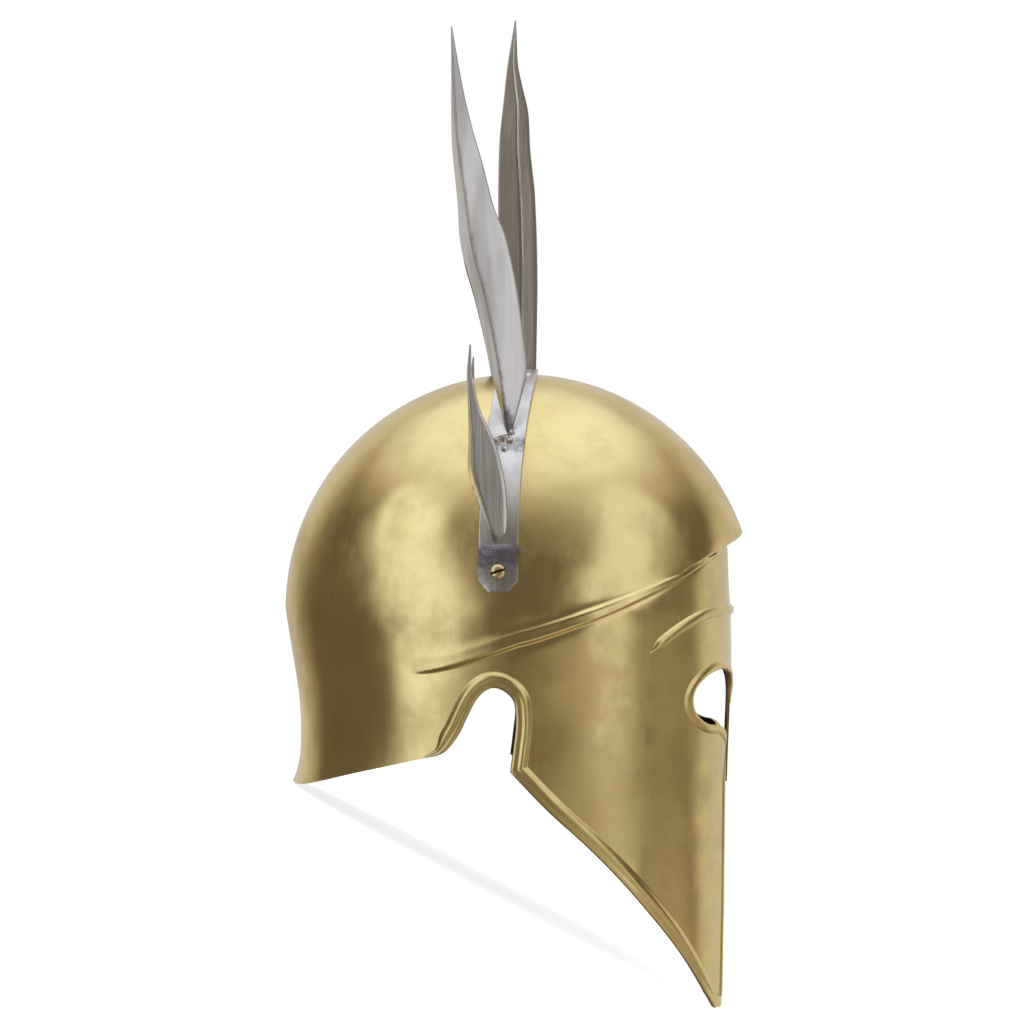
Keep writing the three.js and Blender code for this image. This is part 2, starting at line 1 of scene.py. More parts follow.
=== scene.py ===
# %% [markdown]
# # A Greek helmet in brass with a steel crest
# The helmet is one shell of brass sheet: a round dome, a face with a nose guard, two cheek
# plates with a notch for each ear, and a neck guard. A steel strap is screwed across the
# dome and carries five folded leaf blades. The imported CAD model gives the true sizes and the
# place where everything sits; here every piece gets its fine shape and its finish.

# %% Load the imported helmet
import json
import math
import bpy
import numpy as np
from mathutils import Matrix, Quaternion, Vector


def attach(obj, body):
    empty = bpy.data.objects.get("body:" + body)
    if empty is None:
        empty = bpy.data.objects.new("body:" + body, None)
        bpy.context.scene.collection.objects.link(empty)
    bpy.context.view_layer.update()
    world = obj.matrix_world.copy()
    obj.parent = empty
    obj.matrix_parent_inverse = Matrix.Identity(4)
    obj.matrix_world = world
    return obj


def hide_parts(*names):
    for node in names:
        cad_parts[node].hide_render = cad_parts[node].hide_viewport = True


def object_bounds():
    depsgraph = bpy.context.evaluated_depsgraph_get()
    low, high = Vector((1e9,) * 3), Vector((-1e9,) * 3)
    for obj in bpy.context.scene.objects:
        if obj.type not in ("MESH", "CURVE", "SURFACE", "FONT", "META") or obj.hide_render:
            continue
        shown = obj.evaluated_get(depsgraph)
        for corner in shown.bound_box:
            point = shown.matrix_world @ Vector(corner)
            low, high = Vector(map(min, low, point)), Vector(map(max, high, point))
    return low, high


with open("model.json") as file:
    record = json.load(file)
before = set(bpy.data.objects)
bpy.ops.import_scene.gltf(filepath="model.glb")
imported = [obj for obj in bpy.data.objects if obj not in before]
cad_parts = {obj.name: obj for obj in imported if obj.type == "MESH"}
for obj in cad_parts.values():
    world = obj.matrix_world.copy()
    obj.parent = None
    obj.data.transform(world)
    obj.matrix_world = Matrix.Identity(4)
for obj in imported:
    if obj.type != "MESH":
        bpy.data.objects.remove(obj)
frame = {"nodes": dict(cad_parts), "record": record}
cad_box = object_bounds()
nodes = sorted(frame["nodes"])
print("nodes:", nodes)
print("size, mm:", [round(1000 * (cad_box[1][k] - cad_box[0][k]), 1) for k in range(3)])

# %% [markdown]
# The shapes are worked out with the helmet held upright: the face looks along +X, the
# wearer's left is +Y and heights are counted from the tips of the cheek plates, all in
# millimetres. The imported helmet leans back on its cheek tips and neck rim. Its one mount, the
# seat under the crown, tells how far it leans and where it lies, so nothing is fitted by eye.

# %% Sizes of the shell, mm
MM = 0.001
SHEET, DOME_R, DOME_HALF, FACE_POWER = 1.2, 124.5, 95.0, 2.3
CENTRE_X, CENTRE_Z, NECK_DROP = 4.5, 208.0, 91.7
DEPTH, TOP_Z = CENTRE_Z, CENTRE_Z + DOME_R

# %% From the upright helmet to the resting helmet
seat = frame["record"]["mounts"][0]
lean = -math.asin(seat["axis"][0])
COS, SIN = math.cos(lean), math.sin(lean)
SEAT_UP = (CENTRE_X, 0.0, TOP_Z - SHEET)
SHIFT_X = seat["pos_m"][0] / MM - (COS * SEAT_UP[0] + SIN * SEAT_UP[2])
SHIFT_Z = seat["pos_m"][2] / MM - (-SIN * SEAT_UP[0] + COS * SEAT_UP[2])
BOX_LOW, BOX_HIGH = np.array(cad_box[0]), np.array(cad_box[1])


def rested(points):
    """Turns upright points about the Y axis by the lean, then shifts them, in metres:
    x' = cos x + sin z + shift, z' = cos z - sin x + shift."""
    p = np.asarray(points, dtype=float)
    x = COS * p[..., 0] + SIN * p[..., 2] + SHIFT_X
    z = -SIN * p[..., 0] + COS * p[..., 2] + SHIFT_Z
    return np.stack([x, p[..., 1], z], axis=-1) * MM


def at_rest(points, floor_gap=0.0):
    """Points of a piece at rest. The few that a smooth curve carries a hair past the packed
    box are held at its faces, or at floor_gap above its lowest one."""
    return np.clip(rested(points), BOX_LOW + (0, 0, floor_gap * MM), BOX_HIGH)


print(f"leans back {math.degrees(-lean):.2f} degrees, shift {SHIFT_X:.2f}, {SHIFT_Z:.2f} mm")


# %% Read a table smoothly
def smooth(table, at):
    """Cubic steps through the rows of a table. The slope at a row is that of the line from
    the row before it to the row after it."""
    k, v = np.array(table, dtype=float).T
    at = np.clip(at, k[0], k[-1])
    i = np.clip(np.searchsorted(k, at, side="right") - 1, 0, len(k) - 2)
    low = np.maximum(np.arange(len(k)) - 1, 0)
    high = np.minimum(np.arange(len(k)) + 1, len(k) - 1)
    slope = (v[high] - v[low]) / (k[high] - k[low])
    span = k[i + 1] - k[i]
    t = (at - k[i]) / span
    start = (2 * t**3 - 3 * t**2 + 1) * v[i] + (t**3 - 2 * t**2 + t) * span * slope[i]
    return start + (3 * t**2 - 2 * t**3) * v[i + 1] + (t**3 - t**2) * span * slope[i + 1]


def smoothstep(low, high, at):
    """0 below low, 1 above high, and 3t^2 - 2t^3 between them."""
    t = np.clip((at - low) / (high - low), 0, 1)
    return t * t * (3 - 2 * t)


# %% Put arrays into a mesh
def make_mesh(name, points, polygons, smooth_angle, floor_gap=0.0):
    """One object from upright points (n, 3) and a list of arrays of faces, each array with
    one number of corners. Edges sharper than smooth_angle, in degrees, stay sharp."""
    corners = np.concatenate([f.ravel() for f in polygons])
    totals = np.concatenate([np.full(len(f), f.shape[1]) for f in polygons])
    mesh = bpy.data.meshes.new(name)
    mesh.vertices.add(len(points))
    mesh.vertices.foreach_set("co", at_rest(points, floor_gap).ravel().astype(np.float32))
    mesh.loops.add(len(corners))
    mesh.loops.foreach_set("vertex_index", corners.astype(np.int32))
    mesh.polygons.add(len(totals))
    mesh.polygons.foreach_set("loop_start", (np.cumsum(totals) - totals).astype(np.int32))
    mesh.polygons.foreach_set("loop_total", totals.astype(np.int32))
    mesh.update(calc_edges=True)
    mesh.validate()
    mesh.shade_smooth()
    mesh.set_sharp_from_angle(angle=math.radians(smooth_angle))
    piece = bpy.data.objects.new(name, mesh)
    bpy.context.collection.objects.link(piece)
    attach(piece, "root")
    print(f"{name}: {len(points)} points, {len(mesh.polygons)} faces")
    return piece


def ring_faces(rows, columns):
    """Quads of a grid of points with the given rows and columns, wrapped round."""
    i, j = np.arange(rows - 1)[:, None], np.arange(columns)[None, :]
    a, b = i * columns + j, i * columns + (j + 1) % columns
    return np.stack([a, b, b + columns, a + columns], axis=-1).reshape(-1, 4)


def outward(points, faces):
    """The same faces, turned over together if the closed form they make is inside out."""
    p = points[faces]
    middle = p.mean(axis=1)
    area = np.cross(p[:, 2] - p[:, 0], p[:, -1] - p[:, 1]) / 2
    return faces if np.sum(middle * area) > 0 else faces[:, ::-1]


def join_grids(name, closed, domes, smooth_angle=45):
    """One object from closed strips, which get a face at both ends, and open mounds, whose
    first row is the pole and whose last row gets a face."""
    points, polygons, start = [], [], 0
    for k, grid in enumerate(closed + domes):
        rows, columns = grid.shape[:2]
        flat = grid.reshape(-1, 3)
        quads = ring_faces(rows, columns)
        fixed = outward(flat, quads)
        same = np.array_equal(fixed, quads)
        cap = np.arange(columns)[None, :]
        last = cap + (rows - 1) * columns
        polygons.append(fixed + start)
        if k < len(closed):
            polygons.append((cap[:, ::-1] if same else cap) + start)
        polygons.append((last if same else last[:, ::-1]) + start)
        points.append(flat)
        start += len(flat)
    return make_mesh(name, np.vstack(points), polygons, smooth_angle)


print("box of the packed model, mm:", np.round(BOX_LOW / MM, 1), np.round(BOX_HIGH / MM, 1))

# %% [markdown]
# ## The shell
# A real shell like this is raised from one sheet over stakes, and its dome is planished
# smooth. Each level of it is a rounded section: an ellipse round the back of the head and a
# squarer curve round the face, so the whole skin can be written as a function of the angle
# round the head and of the height. Tables give how long and how wide the sections are at
# each height. Sculpting could give the same form, but a function keeps both halves alike.

# %% How the sections change with height
REAR = [(0, 1), (0.25, 0.97), (0.43, 0.949), (0.65, 0.936), (0.83, 0.939), (0.94, 0.955), (1, 0.974)]
FACE = [(0, 0.876), (0.56, 0.878), (0.7, 0.886), (0.85, 0.8955), (0.97, 0.894), (1.09, 0.8835),
        (1.2, 0.878)]
WIDTH = [(0, 0.78), (0.27, 0.884), (0.56, 0.94), (0.72, 0.955), (0.85, 0.975), (1, 1)]


def rear_length(z):
    """Half length behind the centre, mm: the radius of the dome times the rear table."""
    return DOME_R * smooth(REAR, (CENTRE_Z - z) / NECK_DROP)


def face_length(z):
    """Half length before the centre, mm: the radius of the dome times the face table."""
    return DOME_R * smooth(FACE, z / DEPTH)


def half_width(z):
    """Half width, mm: that of the dome times the width table."""
    return DOME_HALF * smooth(WIDTH, z / DEPTH)


def shell_point(angle, z, share):
    """Skin at an angle round the head and a height. Above the dome's centre the half
    lengths shrink as the root of 1 - rise squared. Behind, x = length cos and y = width sin.
    In front, share mixes that ellipse with a squarer curve, where cos and sin are raised to
    the power 2 / 2.3."""
    rise = np.clip((z - CENTRE_Z) / DOME_R, 0, 1)
    scale = np.sqrt(1 - rise**2)
    above = z >= CENTRE_Z
    front = np.where(above, DOME_R * scale, DOME_R)
    rear = np.where(above, DOME_R * scale, rear_length(z))
    width = np.where(above, DOME_HALF * scale, half_width(z))
    cos, sin = np.cos(angle), np.sin(angle)
    square_cos = np.abs(cos) ** (2 / FACE_POWER)
    square_sin = np.sign(sin) * np.abs(sin) ** (2 / FACE_POWER)
    x_front = (1 - share) * front * cos + share * face_length(z) * square_cos
    y_front = (1 - share) * width * sin + share * width * square_sin
    x = CENTRE_X + np.where(cos <= 0, rear * cos, x_front)
    y = np.where(cos <= 0, width * sin, y_front)
    return np.stack([x, y, z + 0 * x], axis=-1)


print("half width at the centre of the dome:", half_width(CENTRE_Z), "mm")

# %% [markdown]
# A raised ridge marks where the round dome meets the straighter face. It starts a little
# behind the ear, climbs to the brow and is lower there. On the real helmet it is chased into
# the sheet, so here it is part of the same skin: the rows of the grid follow the ridge line
# all round, and a profile across it lifts them by up to 1.25 mm. The rows are close together
# there and wide apart on the plain dome. The tables of the ridge's height and width are read
# at the cosine of the angle round the head: -1 at the back, 1 at the brow.

# %% Rows of the skin and the ridge's profile
RIDGE_H = 1.25
COLUMNS, DOME_ROWS, FACE_ROWS = 360, 40, 88
BELOW_TIPS = -4.0
RIDGE = [(-1, 0.862), (-0.45, 0.862), (-0.314, 0.8755), (-0.168, 0.901), (0.0076, 0.9345),
         (0.139, 0.961), (0.314, 0.996), (0.504, 1.037), (0.715, 1.086), (0.88, 1.134),
         (0.98, 1.163), (1, 1.17)]
RIDGE_W = [(-1, 8.4), (-0.2, 8.2), (0.2, 6.6), (0.5, 5.0), (0.7, 4.2), (1, 3.2)]
ridge_rise = np.array([1.7, 1.45, 1.2, 0.98, 0.8, 0.7, 0.62, 0.56, 0.5, 0.44, 0.37, 0.28, 0.16, 0.04, -0.06,
                       -0.15, -0.22, -0.28, -0.34, -0.41, -0.5, -0.62, -0.8, -1.0])
ridge_share = smooth([(-1.0, 1), (0.3, 1), (0.5, 0.9), (0.75, 0.6), (1.2, 0.16), (1.7, 0)], ridge_rise)
crest_lift = smooth([(-0.36, 0), (-0.3, 0.42), (-0.24, 0.82), (-0.14, 1.0), (0.1, 0.9), (0.35, 0.86),
                     (0.52, 0.78), (0.64, 0.45), (0.78, 0.1), (0.9, 0)], ridge_rise)
crease_lift = smooth([(-1.0, 0), (-0.75, -0.06), (-0.5, -0.22), (-0.38, -0.2), (-0.28, 0)], ridge_rise)
angle = (np.arange(COLUMNS) + 0.5) / COLUMNS * 2 * np.pi
ahead = np.cos(angle)
line_z, line_w = DEPTH * smooth(RIDGE, ahead), smooth(RIDGE_W, ahead)
lowest = np.arcsin((line_z + line_w * ridge_rise[0] - CENTRE_Z) / DOME_R)
part = np.arange(1, DOME_ROWS) / DOME_ROWS
dome_z = CENTRE_Z + DOME_R * np.sin(np.pi / 2 - (np.pi / 2 - lowest[:, None]) * part)
ridge_z = line_z[:, None] + line_w[:, None] * ridge_rise
part = np.arange(1, FACE_ROWS + 1) / FACE_ROWS
face_z = ridge_z[:, -1:] + (BELOW_TIPS - ridge_z[:, -1:]) * part
z = np.concatenate([dome_z, ridge_z, face_z], axis=1)
share = np.concatenate([0 * dome_z, ridge_share + 0 * ridge_z, 1 + 0 * face_z], axis=1)
fade = smoothstep(-0.48, -0.32, ahead) * (1 - 0.45 * smoothstep(0.4, 0.9, ahead))
sink = smoothstep(-0.34, -0.05, ahead)
ridge_lift = fade[:, None] * crest_lift + sink[:, None] * crease_lift
lift = np.concatenate([0 * dome_z, RIDGE_H * ridge_lift, 0 * face_z], axis=1)
skin = shell_point(angle[:, None], z, share)
print("grid of the skin:", skin.shape[:2])


# %% Lift the skin square to itself
def unit(vectors):
    """The same vectors, one long."""
    return vectors / np.maximum(np.linalg.norm(vectors, axis=-1, keepdims=True), 1e-9)


def ring_normals(points):
    """Outward direction at each point of a ring-shaped grid: the step across columns
    crossed with the step up the rows."""
    across = np.roll(points, -1, 0) - np.roll(points, 1, 0)
    return unit(np.cross(across, -np.gradient(points, axis=1)))


skin = skin + lift[..., None] * ring_normals(skin)
print("highest point:", round(float(skin[..., 2].max()), 2), "mm")

# %% [markdown]
# The lower rim is sawn to a line that is seen best from the side: nearly level under the neck,
# up round the ear, and down in a long slant to the cheek tip. The eyes and the gap between
# the cheek plates are seen best from the front. Each cut is a smooth curve in its own view,
# and every point of the skin gets its distance to the nearest curve, with a minus sign where
# the metal is cut away. Then the grid is clipped where that distance is zero. A boolean cutter
# would also do it, but leaves long thin faces that spoil the shine. Points of the rear and
# the cheeks that lie within a hair of the line are first moved up or down off it, so that no
# sliver is left beside the cut.

# %% The line of the lower rim, in side view
RIM = [(-1.16, 0.5592), (-0.93, 0.5592), (-0.63, 0.6025), (-0.42, 0.6317), (-0.32, 0.6452),
       (-0.275, 0.658), (-0.238, 0.683), (-0.213, 0.707), (-0.193, 0.732), (-0.152, 0.781),
       (-0.11, 0.808), (-0.07, 0.815), (-0.028, 0.805), (0.006, 0.782), (0.014, 0.745),
       (0.013, 0.71), (0.007, 0.68), (-0.001, 0.64), (-0.008, 0.608)]
CHEEK = [(-0.008, 0.608), (0.07, 0.558), (0.152, 0.508), (0.239, 0.46), (0.325, 0.412),
         (0.411, 0.36), (0.49, 0.308), (0.562, 0.257), (0.634, 0.204), (0.698, 0.152),
         (0.755, 0.099), (0.807, 0.045), (0.85, 0), (0.9, -0.06)]
NOTCH_ROW = 4


def spline(rows, steps):
    """Smooth curve through points: between two of them a cubic whose ends follow the line
    through their neighbours."""
    p = np.array(rows, dtype=float)
    p = np.vstack([2 * p[0] - p[1], p, 2 * p[-1] - p[-2]])
    t = (np.arange(steps) / steps)[None, :, None]
    a, b, c, d = (p[k:len(p) - 3 + k][:, None, :] for k in range(4))
    q = 0.5 * (2 * b + (c - a) * t + (2 * a - 5 * b + 4 * c - d) * t**2 + (3 * b - a - 3 * c + d) * t**3)
    return np.vstack([q.reshape(-1, p.shape[1]), p[-2]])


RIM_STEPS = 16
neck_and_notch = spline(RIM, RIM_STEPS) * (DOME_R, DEPTH)
cheek_edge = spline(CHEEK, RIM_STEPS) * (DOME_R, DEPTH)
rim = np.vstack([neck_and_notch, cheek_edge[1:]])
print("rim line:", len(rim), "points")

# %% The line of the face opening, in front view
NOSE, GAP, EYE_REACH, EYE_H, EYE_Z = 12.0, 24.0, 61.3, 29.0, 163.0
NOSE_Z = CENTRE_Z - 92.0


def bezier(points, steps):
    """Curve that leaves its first point towards the next ones and arrives at its last."""
    p = np.array(points, dtype=float)
    n = len(p) - 1
    t = (np.arange(steps) / steps)[:, None]
    return sum(math.comb(n, k) * (1 - t) ** (n - k) * t**k * p[k] for k in range(n + 1))


half = EYE_H / 2
top, bottom = EYE_Z + half, EYE_Z - half
middle = (NOSE + EYE_REACH) / 2
nose_wide, nose_top, turn_x = NOSE_Z + NOSE * 1.5, EYE_Z - half * 0.3, middle + half * 0.4
# Steps of each stretch and where it goes on to, from the tip of the nose guard.
STRETCHES = [
    (16, (NOSE * 0.75, NOSE_Z + NOSE * 0.33), (NOSE, nose_wide)),
    (12, (NOSE, nose_top)),
    (28, (NOSE, EYE_Z + half * 0.4), (NOSE + half * 0.6, top), (middle, top)),
    (28, (EYE_REACH - half * 0.7, top), (EYE_REACH, EYE_Z + half * 0.6), (EYE_REACH, EYE_Z)),
    (28, (EYE_REACH, bottom + half * 0.35), (EYE_REACH - half * 0.6, bottom), (turn_x, bottom)),
    (28, (GAP, bottom - half * 0.05), (GAP, bottom - half)),
    (60, (GAP, -20)),
]
ends = [(0, NOSE_Z)] + [onward[-1] for _, *onward in STRETCHES]
opening = np.vstack([bezier([end, *onward], steps) for end, (steps, *onward) in zip(ends, STRETCHES)])
print("opening line:", len(opening), "points, nose tip at", NOSE_Z, "mm")


# %% Distance to a curve, with a sign
def signed_distance(points, curve):
    """Distance from flat points to a curve of short straight pieces, above zero on its left.
    The nearest corner is found, then each piece that meets there is measured: the point is
    dropped onto it, and the nearer of the two counts."""
    out = np.empty(len(points))
    for block in np.array_split(np.arange(len(points)), max(1, len(points) // 4000)):
        p = points[block]
        gap = p[:, None, :] - curve[None, :, :]
        near = np.einsum("ijk,ijk->ij", gap, gap).argmin(axis=1)
        best = np.full(len(block), np.inf)
        for step in (-1, 0):
            first = np.clip(near + step, 0, len(curve) - 2)
            run, off = curve[first + 1] - curve[first], p - curve[first]
            t = np.clip(np.sum(off * run, axis=1) / np.sum(run * run, axis=1), 0, 1)
            far = np.linalg.norm(off - t[:, None] * run, axis=1)
            left = run[:, 0] * off[:, 1] - run[:, 1] * off[:, 0]
            best = np.where(far < np.abs(best), np.where(left > 0, far, -far), best)
        out[block] = best
    return out


FRONT_X, FRONT_HALF = CENTRE_X + 0.3 * DOME_R, 90.0
CUTS_TOP, EYES_LOW, FAR_INSIDE, CELL = 205.0, 150.0, 50.0, 0.8


def metal_left(p):
    """Distance inside the metal of points of the skin: the least of the distances to the
    rim, to the opening of the face and to the level of the cheek tips."""
    inside = np.minimum(signed_distance(p[:, [0, 2]], rim), p[:, 2])
    front = (p[:, 0] > FRONT_X) & (np.abs(p[:, 1]) < FRONT_HALF)
    seen = np.stack([np.abs(p[front][:, 1]), p[front][:, 2]], axis=-1)
    inside[front] = np.minimum(inside[front], signed_distance(seen, opening))
    return inside


keep = np.full(skin.shape[:2], FAR_INSIDE)
low = skin[..., 2] < CUTS_TOP
keep[low] = metal_left(skin[low])
shy = (np.abs(keep) < CELL) & (skin[..., 0] < FRONT_X) & (skin[..., 2] < EYES_LOW)
push = np.where(keep[shy] > 0, CELL, -CELL) - keep[shy]
turned = np.broadcast_to(angle[:, None], keep.shape)[shy]
skin[shy] = shell_point(turned, skin[shy][:, 2] + push, 1.0)
keep[shy] = metal_left(skin[shy])
print("share of the grid kept:", round(float((keep > 0).mean()), 3))


# %% Clip the grid along the cuts
def clip_ring(points, keep):
    """Faces of a ring-shaped grid, cut along the zero line of keep. Where an edge of the
    grid crosses the line it gets a new point at keep_a / (keep_a - keep_b) of its length,
    and each face keeps the corners and new points on the side where keep is above zero."""
    n, m = keep.shape
    ids = np.arange(n * m).reshape(n, m)
    flat, value = points.reshape(-1, 3), keep.ravel()

    def crossing(a, b, first):
        cut = (value[a] > 0) != (value[b] > 0)
        t = (value[a[cut]] / (value[a[cut]] - value[b[cut]]))[:, None]
        number = np.full(a.shape, -1)
        number[cut] = first + np.arange(cut.sum())
        return flat[a[cut]] * (1 - t) + flat[b[cut]] * t, number

    down, down_id = crossing(ids[:, :-1], ids[:, 1:], n * m)
    over, over_id = crossing(ids, np.roll(ids, -1, 0), n * m + len(down))
    every = np.vstack([flat, down, over])
    right = np.roll(ids, -1, 0)
    corner = [ids[:, :-1], ids[:, 1:], right[:, 1:], right[:, :-1]]
    edge = [down_id, over_id[:, 1:], np.roll(down_id, -1, 0), over_id[:, :-1]]
    inside = [value[c] > 0 for c in corner]
    code = sum(inside[k].astype(int) << k for k in range(4))
    faces = []
    for case in range(1, 16):
        here = code == case
        if not here.any():
            continue
        walk = []
        for k in range(4):
            now, after = case >> k & 1, case >> (k + 1) % 4 & 1
            walk += [corner[k][here]] if now else []
            walk += [edge[k][here]] if now != after else []
        faces.append(np.stack(walk, axis=-1))
    return every, faces


points, faces = clip_ring(skin, keep)
crown = len(points)
points = np.vstack([points, [[CENTRE_X, 0, TOP_Z]]])
first_row = np.arange(COLUMNS) * skin.shape[1]
cap = np.stack([np.full(COLUMNS, crown), first_row, np.roll(first_row, -1)], axis=-1)
faces.append(cap)
used = np.unique(np.concatenate([f.ravel() for f in faces]))
renumber = np.full(len(points), -1)
renumber[used] = np.arange(len(used))
wall_points, wall_faces = points[used], [renumber[f] for f in faces]
print("skin after the cuts:", len(used), "points")

# %% [markdown]
# The skin is only the outside of the sheet. The real sheet is 1.2 mm thick, so a Solidify
# modifier grows an inner skin along the normals and closes the sawn edge between the two. It
# gives the inner skin its own material, because the inside was never polished and is browner,
# and its colour is also made far darker than the outside as a painted shade for the inside.
# The edges along the cuts are marked sharp, and the wall stays half a millimetre off the
# floor, which leaves room for the cheek tips' inner skin.

# %% The wall of the shell
WALL_GAP = 0.5
wall = make_mesh("brass_shell", wall_points, wall_faces, smooth_angle=60, floor_gap=WALL_GAP)
solid = wall.modifiers.new("sheet", "SOLIDIFY")
solid.thickness = SHEET * MM
solid.offset = -1
solid.material_offset = 1
solid.material_offset_rim = 2
edge_of = np.empty(len(wall.data.loops), dtype=np.int32)
sharp = np.empty(len(wall.data.edges), dtype=bool)
wall.data.loops.foreach_get("edge_index", edge_of)
wall.data.edges.foreach_get("use_edge_sharp", sharp)
cut = np.bincount(edge_of, minlength=len(sharp)) == 1
wall.data.edges.foreach_set("use_edge_sharp", sharp | cut)
print("sharp edges along the cuts:", int(cut.sum()))
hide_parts("shell")

# %% [markdown]
# ## Raised borders
# A rounded border runs along the edge of the ear notch and the cheek plate. It stiffens the
# thin edge and hides the sawn line. It is made as a profile carried along the edge: each
# point of it is a place in from the edge and a height above the skin. The lower part of the
# skin can be read straight from the side (how wide is it at this x and z?) or from the front,
# so the border lies exactly on it. It starts thin behind the notch and narrows towards the tip.

# %% The face read from the side and from the front
def face_from_side(flat):
    """Point of the skin for a side view (x, z): with u = (x - centre) / length, the width
    is half_width times (1 - u^p)^(1/p), with p = 2 behind and 2.3 in front."""
    x, z = flat[..., 0], flat[..., 1]
    u = x - CENTRE_X
    p = np.where(u > 0, FACE_POWER, 2.0)
    length = np.where(u > 0, face_length(z), rear_length(z))
    share = np.clip(np.abs(u) / length, 0, 1)
    return np.stack([x, half_width(z) * (1 - share**p) ** (1 / p), z], axis=-1)


def face_from_front(flat):
    """Point of the skin for a front view (y, z), by the same rule read the other way."""
    y, z = flat[..., 0], flat[..., 1]
    share = np.clip(np.abs(y) / half_width(z), 0, 1)
    x = CENTRE_X + face_length(z) * (1 - share**FACE_POWER) ** (1 / FACE_POWER)
    return np.stack([x, y, z], axis=-1)


NEAR = 0.05


def mitres(path):
    """Left-hand directions of a flat path. At a corner it is the sum of the normals n and m
    of the two pieces that meet, over 1 + n.m, which keeps a strip's width on both."""
    run = np.diff(path, axis=0)
    n = np.stack([-run[:, 1], run[:, 0]], axis=-1) / np.linalg.norm(run, axis=1, keepdims=True)
    before, after = np.vstack([n[:1], n]), np.vstack([n, n[-1:]])
    return (before + after) / (1 + np.sum(before * after, axis=1, keepdims=True))


def carry(path, profile, place, taper):
    """A strip along a flat path. profile is a closed list of (in from the edge, height);
    place turns flat points into points of the skin; taper shrinks the profile along the
    way. Point = place(path + in * left direction) + height * skin normal."""
    inward, height = (profile[:, k] * taper[:, None] for k in (0, 1))
    flat = path[:, None, :] + inward[..., None] * mitres(path)[:, None, :]
    base = place(flat)
    n = np.cross(*(place(flat + d) - place(flat - d) for d in ((NEAR, 0), (0, NEAR))))
    n = unit(n) * np.sign(np.sum(n * (base - (CENTRE_X, 0, EYE_Z)), axis=-1, keepdims=True))
    return base + n * height[..., None]


MIRROR = (1, -1, 1)


def mirror(points):
    """The same points on the wearer's other side, in reverse order along the path."""
    return (points * MIRROR)[::-1]


# %% The border of the notch and the cheek
BORDER_W = 8.6
CORNER_CLEAR = 5.0
lip = np.array([(0.0, -0.6), (0.02, 0.0), (0.15, 0.4), (0.5, 0.7), (1.1, 0.92), (1.9, 1.02), (2.8, 1.06),
                (3.5, 1.14), (4.2, 1.34), (4.9, 1.5), (5.6, 1.5), (6.3, 1.3), (7.0, 0.92),
                (7.7, 0.46), (8.2, 0.15), (8.6, -0.05), (8.6, -0.5)])
way = np.concatenate([[0], np.cumsum(np.linalg.norm(np.diff(lip, axis=0), axis=1))])
fine = np.linspace(0, way[-1], 60)
upper = np.stack([smooth(np.stack([way, lip[:, k]], axis=-1), fine) for k in (0, 1)], axis=-1)
border_profile = np.vstack([[(0.0, -1.25)], upper, [(BORDER_W / 2, -0.9)]])
corner = cheek_edge[0]
near = np.linalg.norm(rim - corner, axis=1)
edge = rim[(near > CORNER_CLEAR) | (near < 1e-6)][int((NOTCH_ROW - 0.5) * RIM_STEPS):]
edge = edge[edge[:, 1] > 0]
edge = np.vstack([edge, edge[-1] + (edge[-1] - edge[-2]) * edge[-1, 1] / (edge[-2, 1] - edge[-1, 1])])
begin = 0.1 + 0.9 * smoothstep(-12, 46, np.arange(len(edge)))
begin = begin * (1 - 0.4 * smoothstep(60, 0, edge[:, 1]))
right = carry(edge, border_profile, face_from_side, begin) * MIRROR
borders = join_grids("edge_borders", [right, mirror(right)], [], smooth_angle=24)

# %% [markdown]
# A thinner bead runs round each eye, from the nose guard over the eye and down to the cheek
# plate, a finer one runs on down the front edge of the plate, and a narrow brow is raised above
# the eye. The beads follow the opening's own line, seen from the front. The brow follows its
# own line over the skin and ends before the ear.

# %% The beads round the eyes
EYE_LOW = bottom - 13
eye_profile = np.array([
    (0.0, -1.25), (0.0, -0.4), (0.05, 0.2), (0.2, 0.65), (0.55, 1.05), (1.1, 1.3), (1.8, 1.38),
    (2.5, 1.28), (3.2, 1.0), (3.8, 0.62), (4.3, 0.25), (4.7, 0.0), (4.9, -0.4), (2.4, -0.8)])
round_eye = opening[(opening[:, 1] > EYE_Z - 6) & (opening[:, 0] < NOSE + 1)]
after = opening[(opening[:, 0] >= NOSE + 1) & (opening[:, 1] > EYE_LOW)]
eye_path = np.vstack([round_eye, after])
grow = smoothstep(0, 10, np.arange(len(eye_path)))
shrink = smoothstep(0, 12, np.arange(len(eye_path))[::-1])
taper = 0.25 + 0.75 * grow * shrink
left = carry(eye_path, eye_profile, face_from_front, taper)
cheek_profile = np.array([
    (0.0, -1.25), (0.0, -0.3), (0.06, 0.2), (0.35, 0.55), (1.0, 0.78), (1.8, 0.8), (2.6, 0.62),
    (3.2, 0.3), (3.6, -0.05), (3.6, -0.5), (1.8, -0.9)])
cheek_path = opening[(opening[:, 0] >= GAP - 0.01) & (opening[:, 1] > 5) & (opening[:, 1] < bottom - half)]
grow = 0.3 + 0.7 * smoothstep(-1, 5, np.arange(len(cheek_path)))
front = carry(cheek_path, cheek_profile, face_from_front, grow)
eyes = join_grids("eye_beads", [left, mirror(left), front, mirror(front)], [], smooth_angle=50)

# %% The brow
BROW = [(0.56, 0.893), (0.66, 0.944), (0.765, 0.982), (0.86, 1.0), (1.05, 0.994)]
BROW_W, BROW_H, BROW_END, BROW_TAPER = 6.4, 1.8, 0.99, 0.07
brow_table = np.array(BROW) * (DOME_R, DEPTH)
turn = np.linspace(-BROW_END, BROW_END, 241)
height = np.full(turn.shape, DEPTH)
